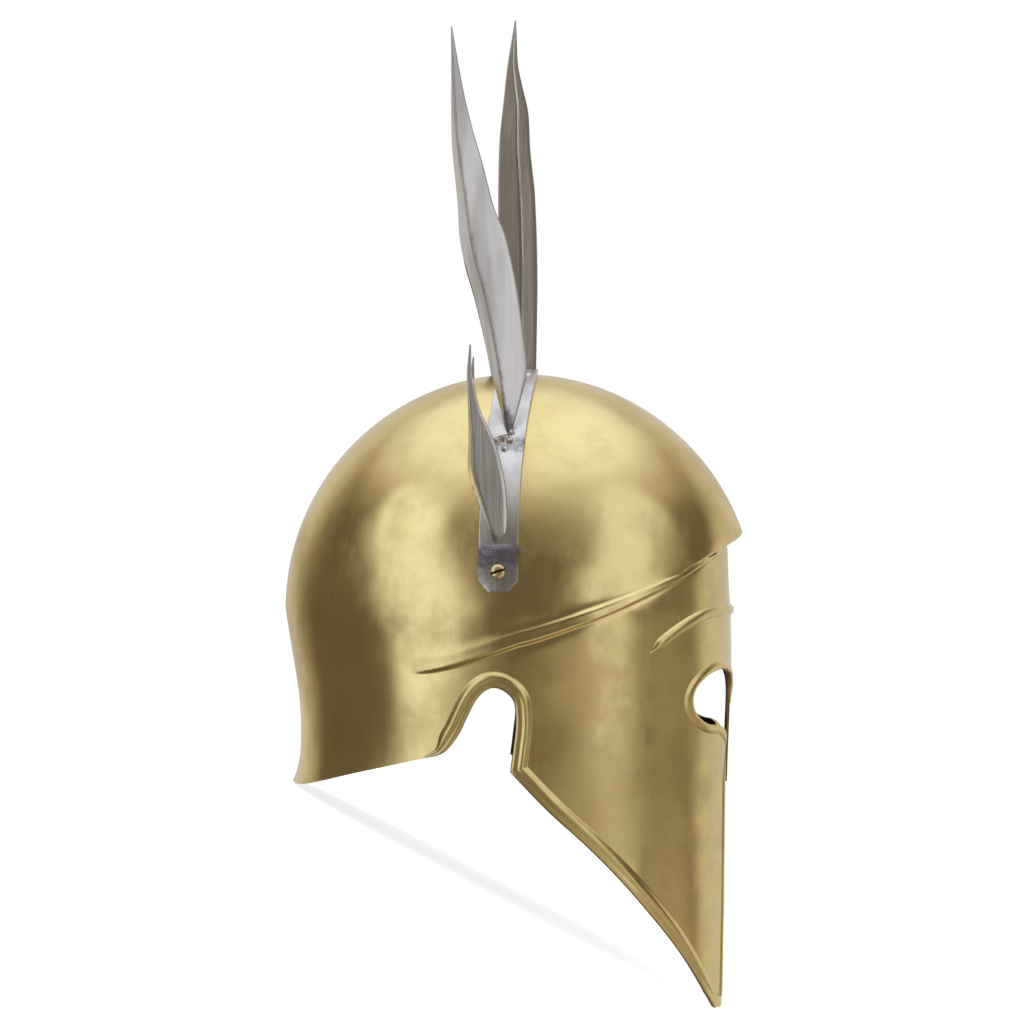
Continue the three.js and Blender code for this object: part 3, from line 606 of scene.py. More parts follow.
# The height gives the length and the length the height, so a few rounds settle both.
for _ in range(12):
    height = smooth(brow_table, shell_point(turn, height, 1.0)[:, 0])
centre = shell_point(turn, height, 1.0)
along = unit(np.gradient(centre, axis=0))
rise = shell_point(turn, height + 0.5, 1.0) - shell_point(turn, height - 0.5, 1.0)
out = unit(np.cross(along, rise))
across = np.cross(out, along)
thin = smoothstep(0, BROW_TAPER, BROW_END - np.abs(turn))[:, None, None]
brow_profile = np.array([
    (-0.55, -0.5), (-0.5, -0.02), (-0.42, 0.25), (-0.3, 0.68), (-0.14, 0.95), (0.02, 1.0),
    (0.18, 0.94), (0.33, 0.66), (0.43, 0.25), (0.5, -0.02), (0.55, -0.5)])
wide = brow_profile[None, :, :1] * BROW_W * (0.2 + 0.8 * thin)
high = brow_profile[None, :, 1:] * BROW_H * thin
brow = centre[:, None, :] + wide * across[:, None, :] + high * out[:, None, :]
brow_piece = join_grids("brow", [brow], [], smooth_angle=50)

# %% [markdown]
# ## The crest
# The crest is plain steel: a flat strap bent over the dome, and five leaves of sheet folded
# to a right angle along their spines, each standing on the strap in a bead of weld. The leaves
# were ground along their length and the heat of the weld left dark spots along the spines.
# Every leaf is one function of the place along its spine and the place round its L-shaped
# section; its width and its bend come from tables.

# %% The dome under the crest
STRAP_W, STRAP_T, STRAP_ROUND, STANDOFF = 20.0, 2.0, 0.55, 1.0
FOOT_X, APEX_X, FOOT_H, CHAMFER = -7.0, 3.7, 10.6, 5.0


def dome_at(x, arch):
    """Point and outward direction on the dome at a place x along the helmet and an angle
    round the arch, counted from the crown to the wearer's right."""
    scale = np.sqrt(1 - ((x - CENTRE_X) / DOME_R) ** 2)
    y = -DOME_HALF * scale * np.sin(arch)
    z = CENTRE_Z + DOME_R * scale * np.cos(arch)
    point = np.stack([x + 0 * arch, y, z], axis=-1)
    n = np.stack([(x - CENTRE_X) / DOME_R**2 + 0 * arch, y / DOME_HALF**2, (z - CENTRE_Z) / DOME_R**2],
                 axis=-1)
    return point, unit(n)


def seat_at(degrees, along_x, lift):
    """Place at a lift above the dome and an angle round the arch, with the outward
    direction and the direction down the arch."""
    arch = math.radians(degrees)
    point, out = dome_at(strap_x(arch) + along_x, arch)
    beside, _ = dome_at(strap_x(arch) + along_x, arch + 0.01)
    return point + lift * out, out, unit(beside - point)


def above_dome(points, lift):
    """Points that lie under the dome, moved straight out from its centre to a lift above
    it: their distance is divided by the root of the ellipsoid's sum of squares."""
    d = points - (CENTRE_X, 0, CENTRE_Z)
    root = np.sqrt(np.sum((d / (DOME_R, DOME_HALF, DOME_R)) ** 2, axis=-1))
    far = np.linalg.norm(d, axis=-1)
    least = far / root + lift
    scale = np.maximum(far, least) / far
    return (CENTRE_X, 0, CENTRE_Z) + d * scale[..., None]


def strap_x(arch):
    """Middle of the strap: it leans forward to the crown with the cube of the cosine."""
    return FOOT_X + (APEX_X - FOOT_X) * np.clip(np.cos(arch), 0, 1) ** 3


foot_arch = math.acos(FOOT_H / DOME_R)
print("the strap's feet end", round(math.degrees(foot_arch), 1), "degrees from the crown")

# %% The strap
def rounded_box(half, thick, radius, steps=5):
    """Closed section of a flat bar that stands on zero, with quarter circles of the radius
    at its four corners, as (across, up)."""
    t = np.linspace(0, np.pi / 2, steps)
    corners = []
    for k, (sx, sz) in enumerate(((1, 1), (-1, 1), (-1, -1), (1, -1))):
        across = sx * (half - radius) + radius * np.cos(t + k * np.pi / 2)
        up = thick / 2 + sz * (thick / 2 - radius) + radius * np.sin(t + k * np.pi / 2)
        corners.append(np.stack([across, up], axis=-1))
    return np.vstack(corners)


slope = CHAMFER / DOME_HALF
straight = foot_arch - slope
arch = np.concatenate([np.linspace(-foot_arch, -straight, 7)[:-1], np.linspace(-straight, straight, 181),
                       np.linspace(straight, foot_arch, 7)[1:]])
end = np.clip((np.abs(arch) - straight) / slope, 0, 1)
half_strap = STRAP_W / 2 - CHAMFER * end**1.5
bar = rounded_box(STRAP_W / 2, STRAP_T, STRAP_ROUND)
low_p, low_n = dome_at(strap_x(arch) - half_strap, arch)
high_p, high_n = dome_at(strap_x(arch) + half_strap, arch)
mix = (bar[:, 0] / STRAP_W + 0.5)[None, :, None]
strap_base = low_p[:, None] * (1 - mix) + high_p[:, None] * mix
strap_n = unit(low_n[:, None] * (1 - mix) + high_n[:, None] * mix)
strap = strap_base + strap_n * (STANDOFF + bar[:, 1])[None, :, None]
print("strap:", strap.shape[:2], "points")

# %% The leaves
LEAF_T, TIP_W = 1.5, 0.6
LONG = [(0, 0.1), (0.044, 0.3), (0.093, 0.515), (0.154, 0.755), (0.25, 0.84), (0.4, 0.97), (0.45, 1),
        (0.5, 0.95), (0.56, 0.765), (0.68, 0.6), (0.75, 0.46), (0.824, 0.31), (0.92, 0.15), (1, 0.03)]
SHORT = [(0, 0.38), (0.1, 0.6), (0.234, 0.87), (0.36, 1), (0.51, 0.77), (0.667, 0.38), (0.833, 0.18),
         (1, 0.05)]
CENTRE = [(0, 0.9), (0.107, 0.94), (0.318, 1), (0.515, 0.955), (0.628, 0.825), (0.741, 0.68),
          (0.825, 0.42), (0.882, 0.25), (1, 0.03)]
LONG_BACK = [(0, 0), (0.16, 0.022), (0.26, 0.04), (0.36, 0.062), (0.46, 0.088), (0.6, 0.108),
             (0.75, 0.127), (1, 0.139)]
SHORT_BACK = [(0, -0.01), (0.1, 0.02), (0.234, 0.062), (0.36, 0.099), (0.51, 0.104), (0.84, 0.1245),
              (1, 0.114)]
CENTRE_BACK = [(0, 0), (0.459, 0.008), (0.656, 0.005), (0.769, -0.006), (0.882, -0.019), (1, -0.039)]


def leaf_section(wide, thick, steps=9):
    """L-shaped closed sections with a rounded spine, crotch and edges, one for each width:
    (stations, points, 2). Half of it is worked out, and the other half swaps its two
    coordinates. Where a leaf is narrow its thickness shrinks to 0.45 of the width."""
    w = wide[:, None]
    t = np.minimum(thick, 0.45 * w)
    r, q, stop = 0.45 * t, 0.35 * t, w - t / 2
    f = np.linspace(0, 1, steps)[None, :]
    spine = np.linspace(np.pi / 4, np.pi / 2, 3)[None, :]
    tip = np.linspace(-np.pi / 2, np.pi / 2, 5)[None, :]
    crotch = np.array([[np.pi / 8, np.pi / 4]])
    outer, inner = f[:, 1:-1], f[:, 1:]
    a = [r - r * np.cos(spine), r + (stop - r) * outer, stop + t / 2 * np.cos(tip),
         stop * (1 - inner) + 1.35 * t * inner, 1.35 * t - q * np.sin(crotch)]
    b = [r - r * np.sin(spine), 0 * w * outer, t / 2 + t / 2 * np.sin(tip),
         t + 0 * inner, 1.35 * t - q * np.cos(crotch)]
    one = np.stack([np.hstack(a), np.hstack(b)], axis=-1)
    two = one[:, ::-1, ::-1]
    return np.concatenate([one, two[:, 1:-1]], axis=1)


def leaf(foot, height, half, degrees, hand, widths, backs, stations=121):
    """One folded leaf. Its spine rises from the foot and leans back by the table; the two
    halves of the section lie along (cos t, sin t) and (-sin t, cos t) of its turn."""
    cos, sin = math.cos(math.radians(degrees)), math.sin(math.radians(degrees))
    v = np.linspace(0, 1, stations) ** 0.95
    wide = np.maximum(half * smooth(widths, v), TIP_W)
    part = leaf_section(wide, LEAF_T)
    a, b = part[..., 0], part[..., 1]
    x = foot[0] - height * smooth(backs, v)[:, None] + a * cos - b * sin
    y = foot[1] + hand * (a * sin + b * cos)
    z = foot[2] + height * v[:, None] + 0 * a
    return above_dome(np.stack([x, y, z], axis=-1), STANDOFF)


LONG_ARCH, SHORT_ARCH, ROOT, SEAT = 44, 74, -3.0, 2.8
CENTRE_H, LONG_H, SHORT_H = 191, 210.4, 102
leaves = [leaf(seat_at(0, -STRAP_W / 2, ROOT)[0], CENTRE_H, 23.9, -58.3, 1, CENTRE, CENTRE_BACK)]
for hand in (1, -1):
    long_foot, short_foot = seat_at(hand * LONG_ARCH, 1, SEAT)[0], seat_at(hand * SHORT_ARCH, -3, SEAT)[0]
    leaves.append(leaf(long_foot, LONG_H, 20, 17, hand, LONG, LONG_BACK))
    leaves.append(leaf(short_foot, SHORT_H, 16, 8.5, hand, SHORT, SHORT_BACK))
print("leaves:", [round(float(g[..., 2].max()), 1) for g in leaves], "mm high")

# %% [markdown]
# Each leaf stands in weld. The melted rod froze in overlapping ripples, so each bead is an
# oval mound with waves across it. They overlap the strap and the leaf, as weld does.

# %% The beads of weld
def weld(centre, out, along, size, seed, rows=16, columns=28):
    """Mound of weld: a bell of size (long, wide, high), whose height is the cosine of a
    quarter turn times the share of its radius, to the power 1.2. Waves across its longer
    side and a few lumps round its edge change it by about a tenth."""
    rng = np.random.default_rng(seed)
    a, b = rng.uniform(0, 6, 2)
    r = np.linspace(0, 1, rows)[:, None]
    w = np.arange(columns)[None, :] / columns * 2 * np.pi
    px, py, pz = r * np.cos(w), r * np.sin(w), np.cos(np.pi / 2 * r) ** 1.2 + 0 * w
    wave = px if size[0] > size[1] else py
    lump = 1 + 0.05 * np.sin(3 * max(size[:2]) * wave + a)
    lump = lump + r * (0.07 * np.sin(3 * w + b) + 0.04 * np.sin(5 * w))
    side = np.cross(out, along)
    grid = (px * size[0])[..., None] * along + (py * size[1])[..., None] * side
    grid = grid + (pz * size[2])[..., None] * out
    return centre + grid * lump[..., None]


WELD_SEAT = STANDOFF + STRAP_T - 0.5
# Degrees round the arch, mm forward, size and heat of each bead at the foot of a leaf.
AT_FEET = [
    (75.6, 0, (4.6, 10.4, 1.1), 1.0), (45.6, -4.8, (2.4, 3.0, 1.9), 0.4),
    (45.0, -0.8, (2.8, 3.2, 2.4), 0.4), (45.9, 3.0, (2.5, 3.2, 1.8), 0.4),
    (48.5, 0.4, (2.4, 2.2, 1.3), 0.4), (43.2, 2.4, (2.8, 2.2, 1.7), 0.4)]
AT_CROWN = [(1, -9), (5, -4.5), (10, 0.5), (13, 5), (-6, -4.5), (-11, 0.5), (-15, 5)]
beads = [(hand * bead[0], *bead[1:], k) for hand in (1, -1) for k, bead in enumerate(AT_FEET)]
beads += [(*place, (3.4, 2.6, 1.5), 0.5, 20 + k) for k, place in enumerate(AT_CROWN)]
welds = [weld(*seat_at(degrees, x, WELD_SEAT), size, seed) for degrees, x, size, _, seed in beads]
print("beads of weld:", len(welds))


# %% One crest
crest = join_grids("steel_crest", [strap] + leaves, welds)


# %% Where the welding heat darkened the steel
def mark(piece, name, grids):
    """One number for each point of the piece, from grids in the order of its points."""
    values = np.concatenate([np.clip(g, 0, 1).ravel() for g in grids]).astype(np.float32)
    piece.data.attributes.new(name, "FLOAT", "POINT").data.foreach_set("value", values)


def strap_heat(grid):
    """Bands of heat under the leaves: a bell round each leaf's angle, and a weak tint
    towards the feet of the strap."""
    degrees = np.degrees(np.abs(arch))[:, None]
    bands = sum(h * np.exp(-(((degrees - d) / w) ** 2)) for d, w, h in
                ((LONG_ARCH + 3, 3.2, 0.75), (SHORT_ARCH + 2.5, 2.4, 0.8), (0, 15, 0.4)))
    return bands + 0.5 * smoothstep(72, 79, degrees) + 0 * grid[..., 0]


def leaf_heat(grid):
    """Most at the foot, less along the spine, none on the open faces. The spine is the
    first point of each section, and the heat falls with the distance from it."""
    v = np.linspace(0, 1, len(grid))[:, None]
    far = np.linalg.norm(grid - grid[:, :1], axis=-1)
    return 0.9 * smoothstep(0.09, 0.0, v) + (0.45 - 0.2 * v) * np.exp(-((far / 2.6) ** 2))


weld_heat = [bead[3] + 0 * grid[..., 0] for bead, grid in zip(beads, welds)]
mark(crest, "scorch", [strap_heat(strap)] + [leaf_heat(g) for g in leaves] + weld_heat)
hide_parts("crest")

# %% [markdown]
# ## The screws
# Each foot of the strap is held by a slotted brass screw with a low domed head, and a nut
# inside the dome. The head is worked out as rows across its round outline: the rows close to
# the slot drop to the slot's floor, so its walls stay straight and sharp.

# %% The screws
HEAD_R, HEAD_H, SHANK_R, SLOT_W, SLOT_D = 3.8, 2.2, 2.0, 1.2, 1.0
SLOT_TURN, ABOVE_FOOT, HEAD_LIFT = math.radians(17), 10.0, 0.3
screw_arch = math.acos((FOOT_H + ABOVE_FOOT) / DOME_R)
strap_mid = STANDOFF - (STRAP_W / 2) ** 2 / (2 * DOME_R)


def screw_parts(hand):
    """Head and shank of one screw, from local (along the slot, across it, out), and how
    much painted shade each point of the head gets: 1 on the slot's floor, 0 elsewhere."""
    arch = np.array(hand * screw_arch)
    p, n = dome_at(strap_x(arch), arch)
    base = strap_mid + STRAP_T + HEAD_LIFT
    level = unit(np.cross(n, (0, 0, 1.0)))
    a_dir = math.cos(SLOT_TURN) * level + math.sin(SLOT_TURN) * np.cross(n, level)
    b_dir = np.cross(n, a_dir)
    g = SLOT_W / 2
    rows = np.array([-1, -0.985, -0.95, -0.87, -0.76, -0.6, -0.45, -0.3, -0.2]) * HEAD_R
    b = np.concatenate([rows, [-g - 0.12, -g - 0.01, -g, g, g + 0.01, g + 0.12], -rows[::-1]])
    deep = np.array([0] * (len(rows) + 2) + [1, 1] + [0] * (len(rows) + 2))
    s = np.sin(np.linspace(-np.pi / 2, np.pi / 2, 31))[None, :]
    reach = np.sqrt(np.maximum(HEAD_R**2 - b**2, 1e-4))[:, None]
    a = s * reach
    r = np.sqrt(a**2 + b[:, None] ** 2) / HEAD_R
    top = base + HEAD_H * (0.42 + 0.58 * np.sqrt(np.clip(1 - 0.98 * r**2.6, 0, 1)))
    floor = base + HEAD_H - SLOT_D
    top = np.where(deep[:, None] > 0, np.minimum(top, floor), top)
    flat = p + a[..., None] * a_dir + (b[:, None] + 0 * a)[..., None] * b_dir
    head = np.concatenate([flat + top[..., None] * n, (flat + base * n)[:, ::-1]], axis=1)
    around = np.arange(32) / 32 * 2 * np.pi
    depth = np.array([base + 0.2, -4.6, -5.4, -5.9])[:, None]
    width = np.array([SHANK_R, SHANK_R, SHANK_R * 0.97, SHANK_R * 0.75])[:, None]
    shank = p + (width * np.cos(around))[..., None] * a_dir + (width * np.sin(around))[..., None] * b_dir
    shank = shank + (depth + 0 * around)[..., None] * n
    dark = np.concatenate([deep[:, None] + 0 * a, 0 * a], axis=1)
    return head, shank, dark


for hand, side in ((1, "right"), (-1, "left")):
    head, shank, dark = screw_parts(hand)
    piece = join_grids(f"slotted_screw_{side}", [head, shank], [])
    # The floor of the slot gets a painted shade: near black, as if in shadow.
    mark(piece, "slot_shade", [dark, 0 * shank[..., 0]])
    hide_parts(f"screw_{side}")

# %% [markdown]
# ## The brass
# The shell is real metal, so its base colour only shows in what it reflects. Worn brass
# is never even: a thin brown tarnish lies in blotches, fine brush lines run round it, and
# the sheet still waves a little from the hammer. All of it comes from noise on Object
# coordinates, so it stays put from every side.

# %% Small helpers for shader nodes
def new_material(name):
    """A material with its node tree and its main shader."""
    material = bpy.data.materials.new(name)
    material.use_nodes = True
    tree = material.node_tree
    return material, tree, tree.nodes["Principled BSDF"]


def add(tree, kind, values=None, **settings):
    """A node with its settings and input values; a value that is a socket is linked."""
    node = tree.nodes.new(kind)
    for key, value in settings.items():
        setattr(node, key, value)
    for key, value in (values or {}).items():
        if isinstance(value, bpy.types.NodeSocket):
            tree.links.new(value, node.inputs[key])
        else:
            node.inputs[key].default_value = value
    return node


def noise(tree, scale, detail=3.0, rough=0.5, length=1.0, offset=(0, 0, 0)):
    """Noise on Object coordinates, 0 to 1. A Mapping node of the texture kind stands it
    upright with the helmet, then makes its grain longer by length along that upright line."""
    place = add(tree, "ShaderNodeTexCoord").outputs["Object"]
    turn = {"Vector": place, "Scale": (1, 1, length), "Location": offset, "Rotation": (0, lean, 0)}
    mapped = add(tree, "ShaderNodeMapping", turn, vector_type="TEXTURE").outputs["Vector"]
    values = {"Vector": mapped, "Scale": scale, "Detail": detail, "Roughness": rough}
    return add(tree, "ShaderNodeTexNoise", values).outputs["Fac"]


def ramp(value, low, high, out_low=0.0, out_high=1.0):
    """Smooth step of a value from one range to another."""
    return add(value.id_data, "ShaderNodeMapRange",
               {"Value": value, "From Min": low, "From Max": high, "To Min": out_low, "To Max": out_high},
               interpolation_type="SMOOTHSTEP").outputs["Result"]


def mixed(factor, a, b):
    """Colour a where the factor is 0 and colour b where it is 1."""
    a, b = (c if isinstance(c, bpy.types.NodeSocket) else (*c, 1) for c in (a, b))
    return add(factor.id_data, "ShaderNodeMix", {0: factor, 6: a, 7: b}, data_type="RGBA").outputs[2]


def combine(operation, a, b):
    """One operation on a socket and a second socket or number."""
    return add(a.id_data, "ShaderNodeMath", {0: a, 1: b}, operation=operation).outputs[0]


def times(a, b):
    """a times b."""
    return combine("MULTIPLY", a, b)


def plus(a, b):
    """a plus b."""
    return combine("ADD", a, b)


def spot(tree, centre_mm, size_mm, ragged):
    """1 near a place of the upright helmet and 0 beyond its size, with an edge made ragged
    by noise."""
    place = add(tree, "ShaderNodeTexCoord").outputs["Object"]
    far = add(tree, "ShaderNodeVectorMath", {0: place, 1: tuple(rested(centre_mm).tolist())},
              operation="DISTANCE").outputs["Value"]
    rough_far = plus(far, times(ragged, size_mm * 1.4 * MM))
    return ramp(rough_far, 0.6 * size_mm * MM, 1.5 * size_mm * MM, 1.0, 0.0)


# %% Polished, lightly tarnished brass
# The second colour is a near-black painted shade for the floor of a screw's slot.
SPECK, SLOT_SHADE_COLOUR = (0.16, 0.09, 0.04), (0.05, 0.035, 0.02)


def brass_material(name, bright, dull, brown, rough=(0.17, 0.32), wave=1.0, stains=(), shade_attribute=None):
    """Brass whose colour goes from bright to dull in blotches and to brown in a finer haze,
    with specks, stains and, from an attribute, a near-black painted shade. Blotches, brush lines
    and marks make it rougher; wave is how strongly the sheet still shows the hammer."""
    material, tree, shader = new_material(name)
    shader.inputs["Metallic"].default_value = 1.0
    ragged = noise(tree, 70, 5, 0.65)
    blotch = ramp(noise(tree, 13, 5, 0.62), 0.42, 0.66)
    haze = ramp(noise(tree, 34, 4, 0.6, offset=(3, 1, 2)), 0.45, 0.7)
    speck = ramp(noise(tree, 420, 2, 0.5), 0.8, 0.9)
    colour = mixed(times(blotch, 0.75), bright, dull)
    colour = mixed(times(haze, 0.3), colour, brown)
    colour = mixed(times(speck, 0.3), colour, SPECK)
    marks = times(haze, 0.25)
    for place, size, strength, tint in stains:
        stain = times(spot(tree, place, size, ragged), strength)
        colour = mixed(stain, colour, tint)
        marks = plus(marks, times(stain, 0.3))
    if shade_attribute:
        # Painted shade: where the attribute is 1 the colour turns near black, standing in for shadow.
        painted_shade = add(tree, "ShaderNodeAttribute", attribute_name=shade_attribute).outputs["Fac"]
        colour = mixed(painted_shade, colour, SLOT_SHADE_COLOUR)
    tree.links.new(colour, shader.inputs["Base Color"])
    brush = noise(tree, 300, 3, 0.7, length=12)
    tree.links.new(ramp(plus(plus(blotch, brush), marks), 0.3, 1.7, *rough), shader.inputs["Roughness"])
    waves = plus(noise(tree, 21, 1.0, 0.45), times(noise(tree, 82, 0.0, 0.5), 0.12))
    bump = add(tree, "ShaderNodeBump", {"Strength": wave, "Distance": 0.0012, "Height": waves})
    fine = add(tree, "ShaderNodeBump", {"Strength": 0.06, "Distance": 0.0001, "Height": brush,
                                        "Normal": bump.outputs["Normal"]})
    tree.links.new(fine.outputs["Normal"], shader.inputs["Normal"])
    return material


BROWN = (0.34, 0.2, 0.08)
# Place on the upright helmet and size in mm, strength and colour of each stain.
STAINS = [
    ((-58, -78, 201), 13, 0.55, BROWN),
    ((-84, -52, 214), 16, 0.4, BROWN),
    ((-17, -84, 252), 6, 0.6, (0.42, 0.17, 0.07)),
    ((-60, -70, 185), 9, 0.5, (0.4, 0.2, 0.08)),
    # This spot and the last two darken a short second prong below the rear end of the ridge.
    ((-42, -80, 176), 8, 0.45, BROWN),
    ((84, -38, 246), 14, 0.45, BROWN),
    ((97, -22, 202), 10, 0.4, BROWN),
    ((30, -86, 222), 14, 0.35, BROWN),
    ((60, -62, 112), 10, 0.3, BROWN),
    ((-40, -88, 178.5), 2.6, 0.5, BROWN),
    ((-34, -89, 179), 2.6, 0.5, BROWN),
]
brass = brass_material("polished_brass", (0.88, 0.69, 0.29), (0.76, 0.58, 0.22), (0.56, 0.38, 0.14),
                       stains=STAINS)
# The inside's colour is partly its browner, unpolished finish and partly painted shade, far darker than the
# outside.
inside = brass_material("brass_inside_shaded", (0.16, 0.11, 0.06), (0.08, 0.055, 0.03), (0.05, 0.03, 0.02),
                        rough=(0.45, 0.65))
sawn = brass_material("sawn_brass", (0.7, 0.52, 0.22), (0.42, 0.28, 0.11), BROWN, rough=(0.32, 0.5))
for material in (brass, inside, sawn):
    wall.data.materials.append(material)
for piece in (borders, eyes, brow_piece):
    piece.data.materials.append(brass)
screw_brass = brass_material("screw_brass", (0.9, 0.7, 0.34), (0.78, 0.58, 0.26), (0.6, 0.42, 0.18),
                             rough=(0.22, 0.34), wave=0.3, shade_attribute="slot_shade")
for side in ("right", "left"):
    bpy.data.objects[f"slotted_screw_{side}"].data.materials.append(screw_brass)
print("brass finishes:", brass.name, inside.name, sawn.name, screw_brass.name)

# %% [markdown]
# ## The steel
# The crest is bare steel with a satin grind. The grinding lines run along the leaves, and
# the metal is dull grey, darker in the crotch and where it was welded.

# %% Ground steel
def steel_material(name, bright, dull, dark, length=20, heat=None):
    """Satin steel with lines along the leaves and long soft streaks. Where the heat
    attribute is high, ragged by noise, it turns dark and rougher."""
    material, tree, shader = new_material(name)
    shader.inputs["Metallic"].default_value = 1.0
    lines = noise(tree, 330, 3, 0.7, length=length)
    streak = ramp(noise(tree, 95, 2, 0.5, length=8), 0.35, 0.7)
    colour = mixed(streak, bright, dull)
    marks = times(streak, 0.3)
    if heat:
        near = add(tree, "ShaderNodeAttribute", attribute_name=heat).outputs["Fac"]
        ragged = noise(tree, 260, 4, 0.65, offset=(1, 2, 3))
        scorch = ramp(plus(near, times(ragged, 1.3)), 0.9, 1.7)
        colour = mixed(scorch, colour, dark)
        marks = plus(marks, times(scorch, 0.5))
    tree.links.new(colour, shader.inputs["Base Color"])
    tree.links.new(ramp(plus(times(lines, 0.6), marks), 0.1, 1.2, 0.24, 0.46), shader.inputs["Roughness"])
    height = plus(lines, times(noise(tree, 34, 1.0, 0.5), 4.0))
    bump = add(tree, "ShaderNodeBump", {"Strength": 0.35, "Distance": 0.00025, "Height": height})
    tree.links.new(bump.outputs["Normal"], shader.inputs["Normal"])
    return material


steel = steel_material("ground_steel", (0.74, 0.69, 0.6), (0.6, 0.56, 0.49), (0.22, 0.195, 0.2),
                       heat="scorch")
crest.data.materials.append(steel)
nut_steel = steel_material("plain_steel", (0.5, 0.5, 0.5), (0.38, 0.38, 0.38), (0.1, 0.1, 0.1), length=1)
for side in ("right", "left"):
    for slot in frame["nodes"][f"nut_{side}"].material_slots:
        slot.material = nut_steel

# %% [markdown]
# ## The studio
# The floor is pale paper, lit a little from below so that it stays nearly white, and it turns
# into an even white backdrop further out, so no edge shows behind the helmet. Metal shows what is
# round it more than its own colour, so the floor and the backdrop are kept out of its
# reflections and the lights below make all of them.

# %% Floor and backdrop
def paper_material():
    """Pale paper whose own glow grows from 0.8 at the helmet to 1 at the far edge."""
    material, tree, shader = new_material("pale_paper")
    shader.inputs["Base Color"].default_value = (0.9, 0.9, 0.9, 1)
    shader.inputs["Roughness"].default_value = 1.0
    shader.inputs["Specular IOR Level"].default_value = 0.0
    place = add(tree, "ShaderNodeTexCoord").outputs["Object"]
    far = add(tree, "ShaderNodeVectorMath", {0: place}, operation="LENGTH").outputs["Value"]
    shader.inputs["Emission Color"].default_value = (1, 1, 1, 1)
    tree.links.new(ramp(far, 0.25, 0.75, 0.8, 1.0), shader.inputs["Emission Strength"])
    return material


def glow_material():
    """Even white light, for the backdrop."""
    material, tree, shader = new_material("white_backdrop")
    glow = add(tree, "ShaderNodeEmission", {"Color": (1, 1, 1, 1), "Strength": 1.0})
    tree.links.new(glow.outputs["Emission"], tree.nodes["Material Output"].inputs["Surface"])
    tree.nodes.remove(shader)
    return material


def turned_sheet(name, radius, rise, material, steps=96):
    """A sheet swept round the Z axis from a radius and a height at each row."""
    turn = np.arange(steps) / steps * 2 * np.pi
    points = np.stack([radius[:, None] * np.cos(turn), radius[:, None] * np.sin(turn),
                       rise[:, None] + 0 * turn], axis=-1)
    mesh = bpy.data.meshes.new(name)
    rings = ring_faces(len(radius), steps)[:, ::-1]
    mesh.from_pydata(points.reshape(-1, 3).tolist(), [], rings.tolist())
    mesh.shade_smooth()
    sheet = bpy.data.objects.new(name, mesh)
    bpy.context.collection.objects.link(sheet)
    mesh.materials.append(material)
    sheet.visible_glossy = False
    return sheet


PAPER_R, FLOOR_Z, BEND = 0.8, -0.0002, 1.5
turned_sheet("paper_floor", np.linspace(0.0005, PAPER_R, 9), np.full(9, FLOOR_Z), paper_material())
bend = np.linspace(0.12, np.pi / 2, 12)
far_radius = np.concatenate([[PAPER_R, 2.0, 4.0], 4.5 + BEND * np.sin(bend), [6.0, 6.0, 0.01]])
far_rise = np.concatenate([[0, 0, 0], BEND - BEND * np.cos(bend), [4.0, 9.0, 9.0]])
backdrop = turned_sheet("backdrop", far_radius, far_rise + FLOOR_Z, glow_material())
backdrop.visible_diffuse = False
backdrop.visible_shadow = False
print("floor and backdrop reach", far_radius.max(), "m out")

# %% The camera, as far from the helmet and at the same angle as in the photograph
cam_data = bpy.data.cameras.new("camera")
camera = bpy.data.objects.new("camera", cam_data)
bpy.context.collection.objects.link(camera)
CAMERA_AWAY, CAMERA_H, FIELD, SENSOR = 2400.0, 259.35, 543.0, 36
cam_data.sensor_width = SENSOR
cam_data.lens = SENSOR * CAMERA_AWAY / FIELD
camera.location = rested((0, -CAMERA_AWAY, CAMERA_H)).tolist()
camera.rotation_mode = "QUATERNION"
look = Quaternion((1, 0, 0), math.pi / 2)
camera.rotation_quaternion = Quaternion((0, 1, 0), lean) @ look
cam_data.clip_end = 100
bpy.context.scene.camera = camera
print("camera at", [round(v, 3) for v in camera.location])

# %% [markdown]
# A shiny dome is a map of the room: each bright band on it is a light, and each deep tone a
# dark wall. Soft lights stand left and right of the camera, each made of a few lobes one above
# the other, one light hangs overhead, weaker ones stand behind and below, and the rest is dim.
# The background shader is a good way to make such broad lights without noise. Each light is a
# soft-edged lobe round a direction: the dot product of the two directions, passed through a
# smooth step. Where two of them meet the stronger one counts, so the lights join without a hot
# spot between them.

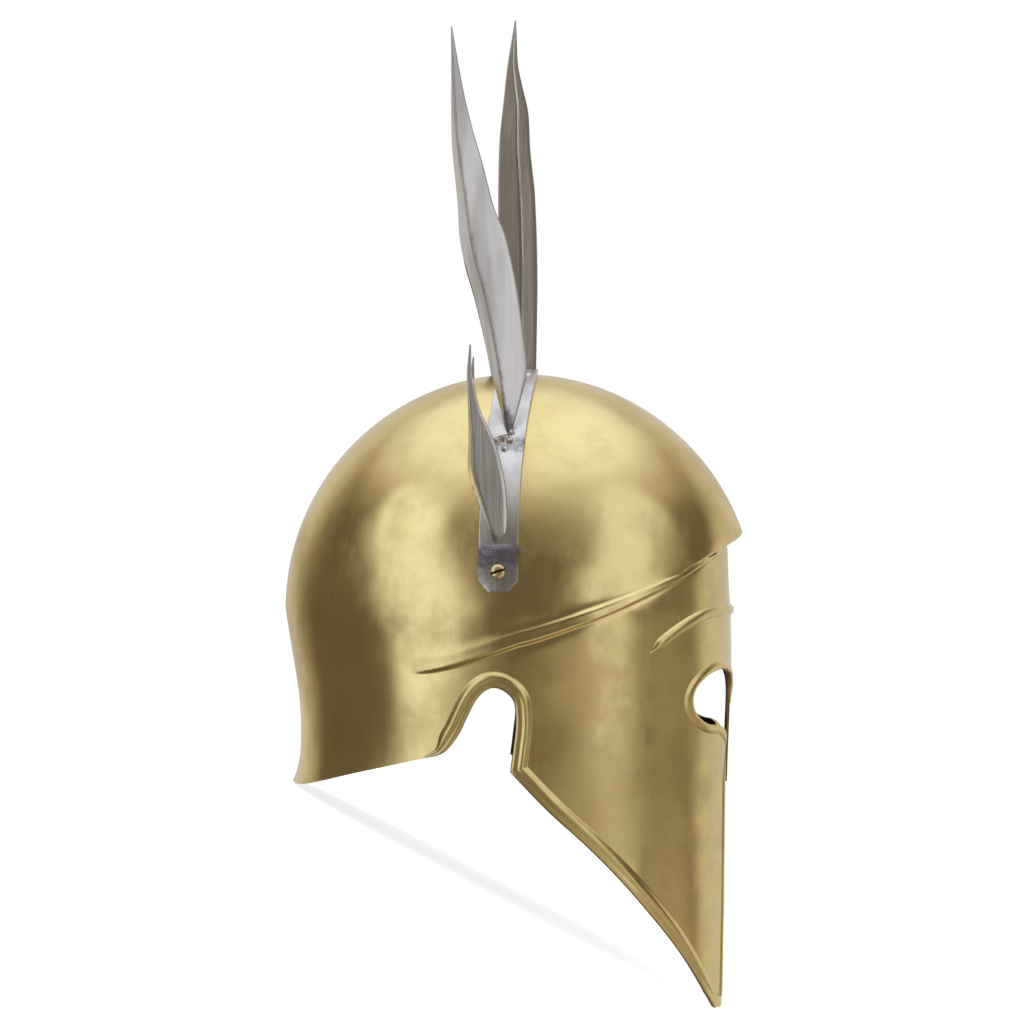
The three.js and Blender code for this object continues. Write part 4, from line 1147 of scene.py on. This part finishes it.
# %% Soft lights all round
world = bpy.data.worlds.new("studio")
bpy.context.scene.world = world
world.use_nodes = True
sky = world.node_tree
direction = add(sky, "ShaderNodeTexCoord").outputs["Generated"]
upright = add(sky, "ShaderNodeMapping", {"Vector": direction, "Rotation": (0, -lean, 0)},
              vector_type="VECTOR").outputs["Vector"]


def lobe(azimuth, elevation, inner, outer, strength, squeeze=1.0):
    """Light from one direction, in degrees from the camera's side and above the level. It is
    full within the inner angle and gone at the outer one. A squeeze under 1 makes it tall."""
    a, e = math.radians(azimuth), math.radians(elevation)
    aim = unit(np.array([math.sin(a) * math.cos(e), -math.cos(a) * math.cos(e), squeeze * math.sin(e)]))
    tall = add(sky, "ShaderNodeVectorMath", {0: upright, 1: (1, 1, squeeze)}, operation="MULTIPLY")
    facing = add(sky, "ShaderNodeVectorMath", {0: tall.outputs["Vector"]}, operation="NORMALIZE")
    dot = add(sky, "ShaderNodeVectorMath", {0: facing.outputs["Vector"], 1: tuple(aim)},
              operation="DOT_PRODUCT")
    edges = (math.cos(math.radians(angle)) for angle in (outer, inner))
    return ramp(dot.outputs["Value"], *edges, 0.0, strength)


# Azimuth, elevation, inner and outer angle in degrees, strength and squeeze of each lobe.
LIGHTS = [
    (-55, 31, 9, 24, 0.98, 1.0),
    (-45, 15, 9, 24, 0.92, 1.0),
    (-38, -2, 9, 23, 0.9, 0.8),
    (53, 33, 8, 25, 0.74, 1.0),
    (46, 19, 8, 23, 0.74, 1.0),
    (31, 3, 6, 14, 0.72, 0.8),
    (38, -14, 4, 13, 0.62, 0.9),
    (0, 90, 20, 62, 0.95, 1.0),
    (180, 15, 35, 72, 0.5, 1.0),
    (124, -6, 12, 32, 0.5, 0.8),
    (26, -36, 24, 36, 0.3, 1.0),
    (75, -34, 22, 36, 0.24, 1.0),
]
AMBIENT = 0.12
strongest = 0.0
for light in LIGHTS:
    strongest = combine("MAXIMUM", lobe(*light), strongest)
total = plus(strongest, AMBIENT)
background = sky.nodes["Background"]
warm_to_cool = mixed(ramp(total, 0.15, 1.0), (1.12, 0.99, 0.85), (0.98, 1.06, 1.28))
sky.links.new(warm_to_cool, background.inputs["Color"])
sky.links.new(total, background.inputs["Strength"])
print("soft lights:", len(LIGHTS))
bpy.context.scene.view_settings.view_transform = "Standard"
